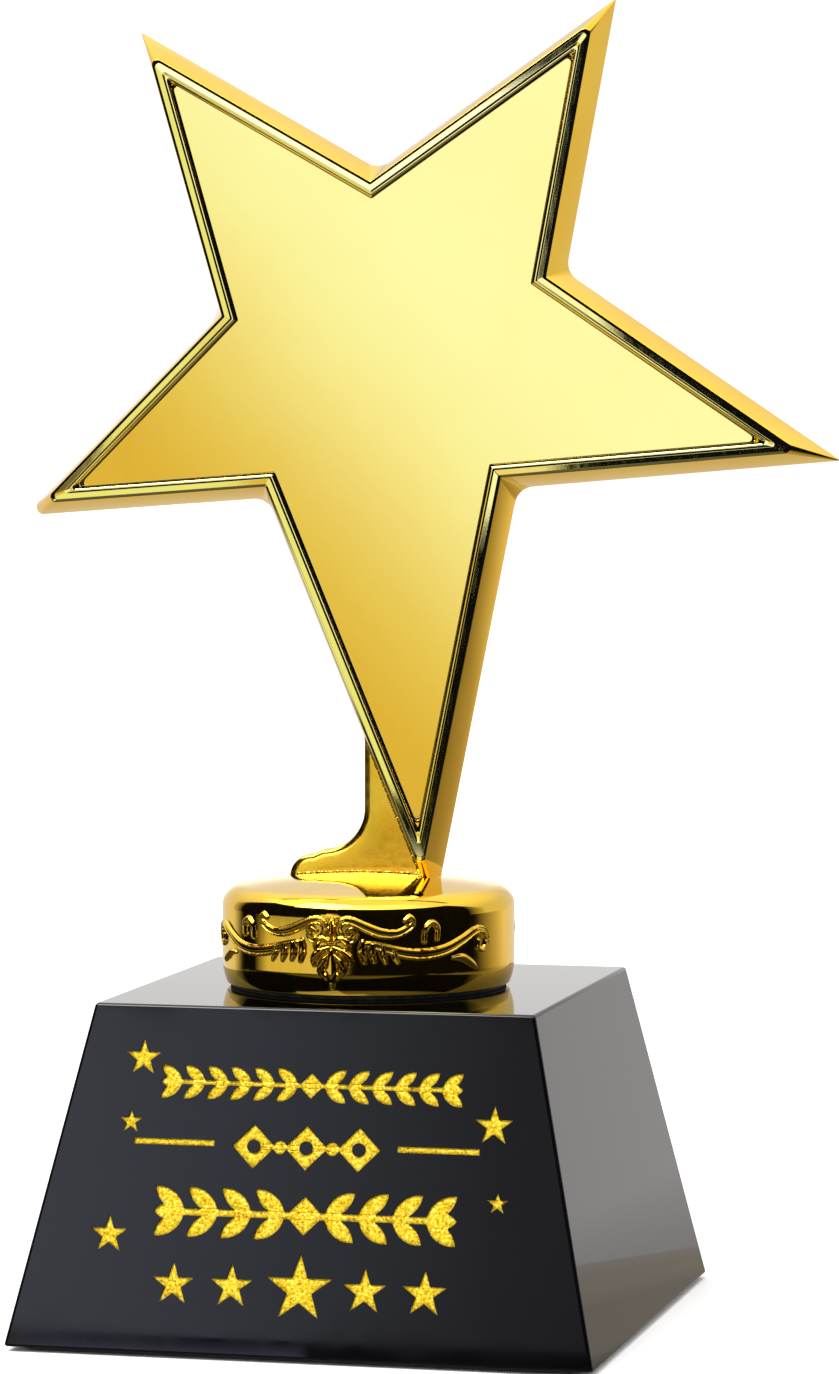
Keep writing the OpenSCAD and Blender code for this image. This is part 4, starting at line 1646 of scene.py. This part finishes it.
# %% [markdown]
# The polished front of the rim leans by a degree or two, so it looks just past the part of the
# card that the face shows. Patches of copper, lemon and cream near the card's edges give the
# rim its own colours there, and beyond them the card is black.

# %% Star card
COPPER, LEMON, CREAM = (0.16, 0.11, 0.06), (0.86, 0.83, 0.45), (1.25, 1.2, 1.75)
CARD_STEP = 6.0


def star_card_colour(x, y, z):
    """The fade, the rim's patches, and black outside them."""
    colour = along_stops(card_stops, card_share(x, z))
    if x < -690 and z > 120:
        colour = mix(COPPER, LEMON, soft(z, 195, 225) if x < -745 else 1)
    elif x < -575 and z < 70:
        colour = LEMON
    elif z > 350 and x < -440:
        colour = CREAM
    top = 480 - 75 * soft(x, -530, -510)
    outside = max(soft(z, top, top + 12), soft(x, -310, -298) * soft(z, 180, 192),
                  soft(x, -392, -380) * (1 - soft(z, 50, 62)))
    return mix(colour, BLACK, outside)


glowing_sheet("star_card", [[(x, -CARD_DISTANCE, z) for x in np.arange(-860.0, -249.0, CARD_STEP)]
                            for z in np.arange(-160.0, 500.0, CARD_STEP)], star_card_colour)

# %% [markdown]
# ### The card above the glass
# The engraved face of the block leans back, so it mirrors what hangs high in front. A card
# there fades from a cool white on the left to dark on the right, as a window would.

# %% Glass card
GLASS_CARD_DISTANCE = 4000.0
GLASS_CARD_LEFT, GLASS_CARD_RIGHT, GLASS_CARD_LOW, GLASS_CARD_HIGH = -1400.0, -720.0, 840.0, 1330.0
GLASS_CARD_STOPS = [(0.0, (0.98, 1.05, 1.28)), (0.35, (0.74, 0.79, 0.92)),
                    (0.75, (0.30, 0.30, 0.33)), (1.0, (0.2, 0.2, 0.21))]


def glass_card_colour(x, y, z):
    share = (x - GLASS_CARD_LEFT) / (GLASS_CARD_RIGHT - GLASS_CARD_LEFT)
    return along_stops(GLASS_CARD_STOPS, share)


glowing_sheet("glass_card", [[(x, -GLASS_CARD_DISTANCE, z)
                              for x in np.linspace(GLASS_CARD_LEFT, GLASS_CARD_RIGHT, 61)]
                             for z in (GLASS_CARD_LOW, GLASS_CARD_HIGH)], glass_card_colour)

# %% [markdown]
# ### Floor and background
# The floor is plain and white, and it isn't part of the trophy. Mirrors
# don't see it, because the table stands in for it there. The world behind everything is an
# even, nearly white glow.

# %% Floor and world
FLOOR_HALF = 6000.0
floor = add_piece("studio_floor", [(-FLOOR_HALF, -FLOOR_HALF, 0), (FLOOR_HALF, -FLOOR_HALF, 0),
                                   (FLOOR_HALF, FLOOR_HALF, 0), (-FLOOR_HALF, FLOOR_HALF, 0)],
                  [(0, 1, 2, 3)])
floor.data.materials.append(studio_paint("white_floor", (0.95, 0.95, 0.95), 0))
floor.visible_glossy = False

world = bpy.data.worlds.new("white_room")
bpy.context.scene.world = world
world.use_nodes = True
background = world.node_tree.nodes["Background"]
background.inputs["Color"].default_value = (1.0, 0.99, 0.98, 1)
background.inputs["Strength"].default_value = 1.12
print("world glow:", round(background.inputs["Strength"].default_value, 2))

# %% [markdown]
# ### Lamps
# A large soft lamp above and to the left, and wide daylight, light the foil, the felt and the
# floor. A small lamp lights the stem and foot only, through light linking. The foot then
# glows in the mirror of the dome below it, as it would beside a low window.


# %% Lamps
def soft_lamp(name, place, aim, size, power):
    """A rectangular lamp; place and aim in millimetres, size in metres, power in watts."""
    data = bpy.data.lights.new(name, "AREA")
    data.shape = "RECTANGLE"
    data.size, data.size_y = size
    data.energy = power
    lamp = bpy.data.objects.new(name, data)
    lamp.location = Vector(place) * MM
    lamp.rotation_euler = (Vector(aim) - Vector(place)).to_track_quat("-Z", "Y").to_euler()
    bpy.context.scene.collection.objects.link(lamp)
    return lamp


soft_lamp("overhead_softbox", place=(-500, -700, 1300), aim=(0, 0, 80), size=(0.9, 0.7), power=10)
daylight = bpy.data.objects.new("wide_daylight", bpy.data.lights.new("wide_daylight", "SUN"))
daylight.data.energy = 1.7
daylight.data.angle = math.radians(50)
daylight.rotation_euler = (math.radians(32), 0, math.radians(-25))
daylight.visible_glossy = False
bpy.context.scene.collection.objects.link(daylight)
foot_lamp = soft_lamp("foot_lamp", place=(-104, -390, 156), aim=(-4, 2, 74), size=(0.14, 0.115),
                      power=0.11)
lit_by_foot_lamp = bpy.data.collections.new("lit_by_foot_lamp")
lit_by_foot_lamp.objects.link(stem_plate)
foot_lamp.light_linking.receiver_collection = lit_by_foot_lamp
print("lamps:", [lamp.name for lamp in bpy.data.lights])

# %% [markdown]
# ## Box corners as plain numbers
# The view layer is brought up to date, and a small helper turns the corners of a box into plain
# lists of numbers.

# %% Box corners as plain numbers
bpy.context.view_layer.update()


def plain(bounds):
    return [[float(v) for v in corner] for corner in bounds]
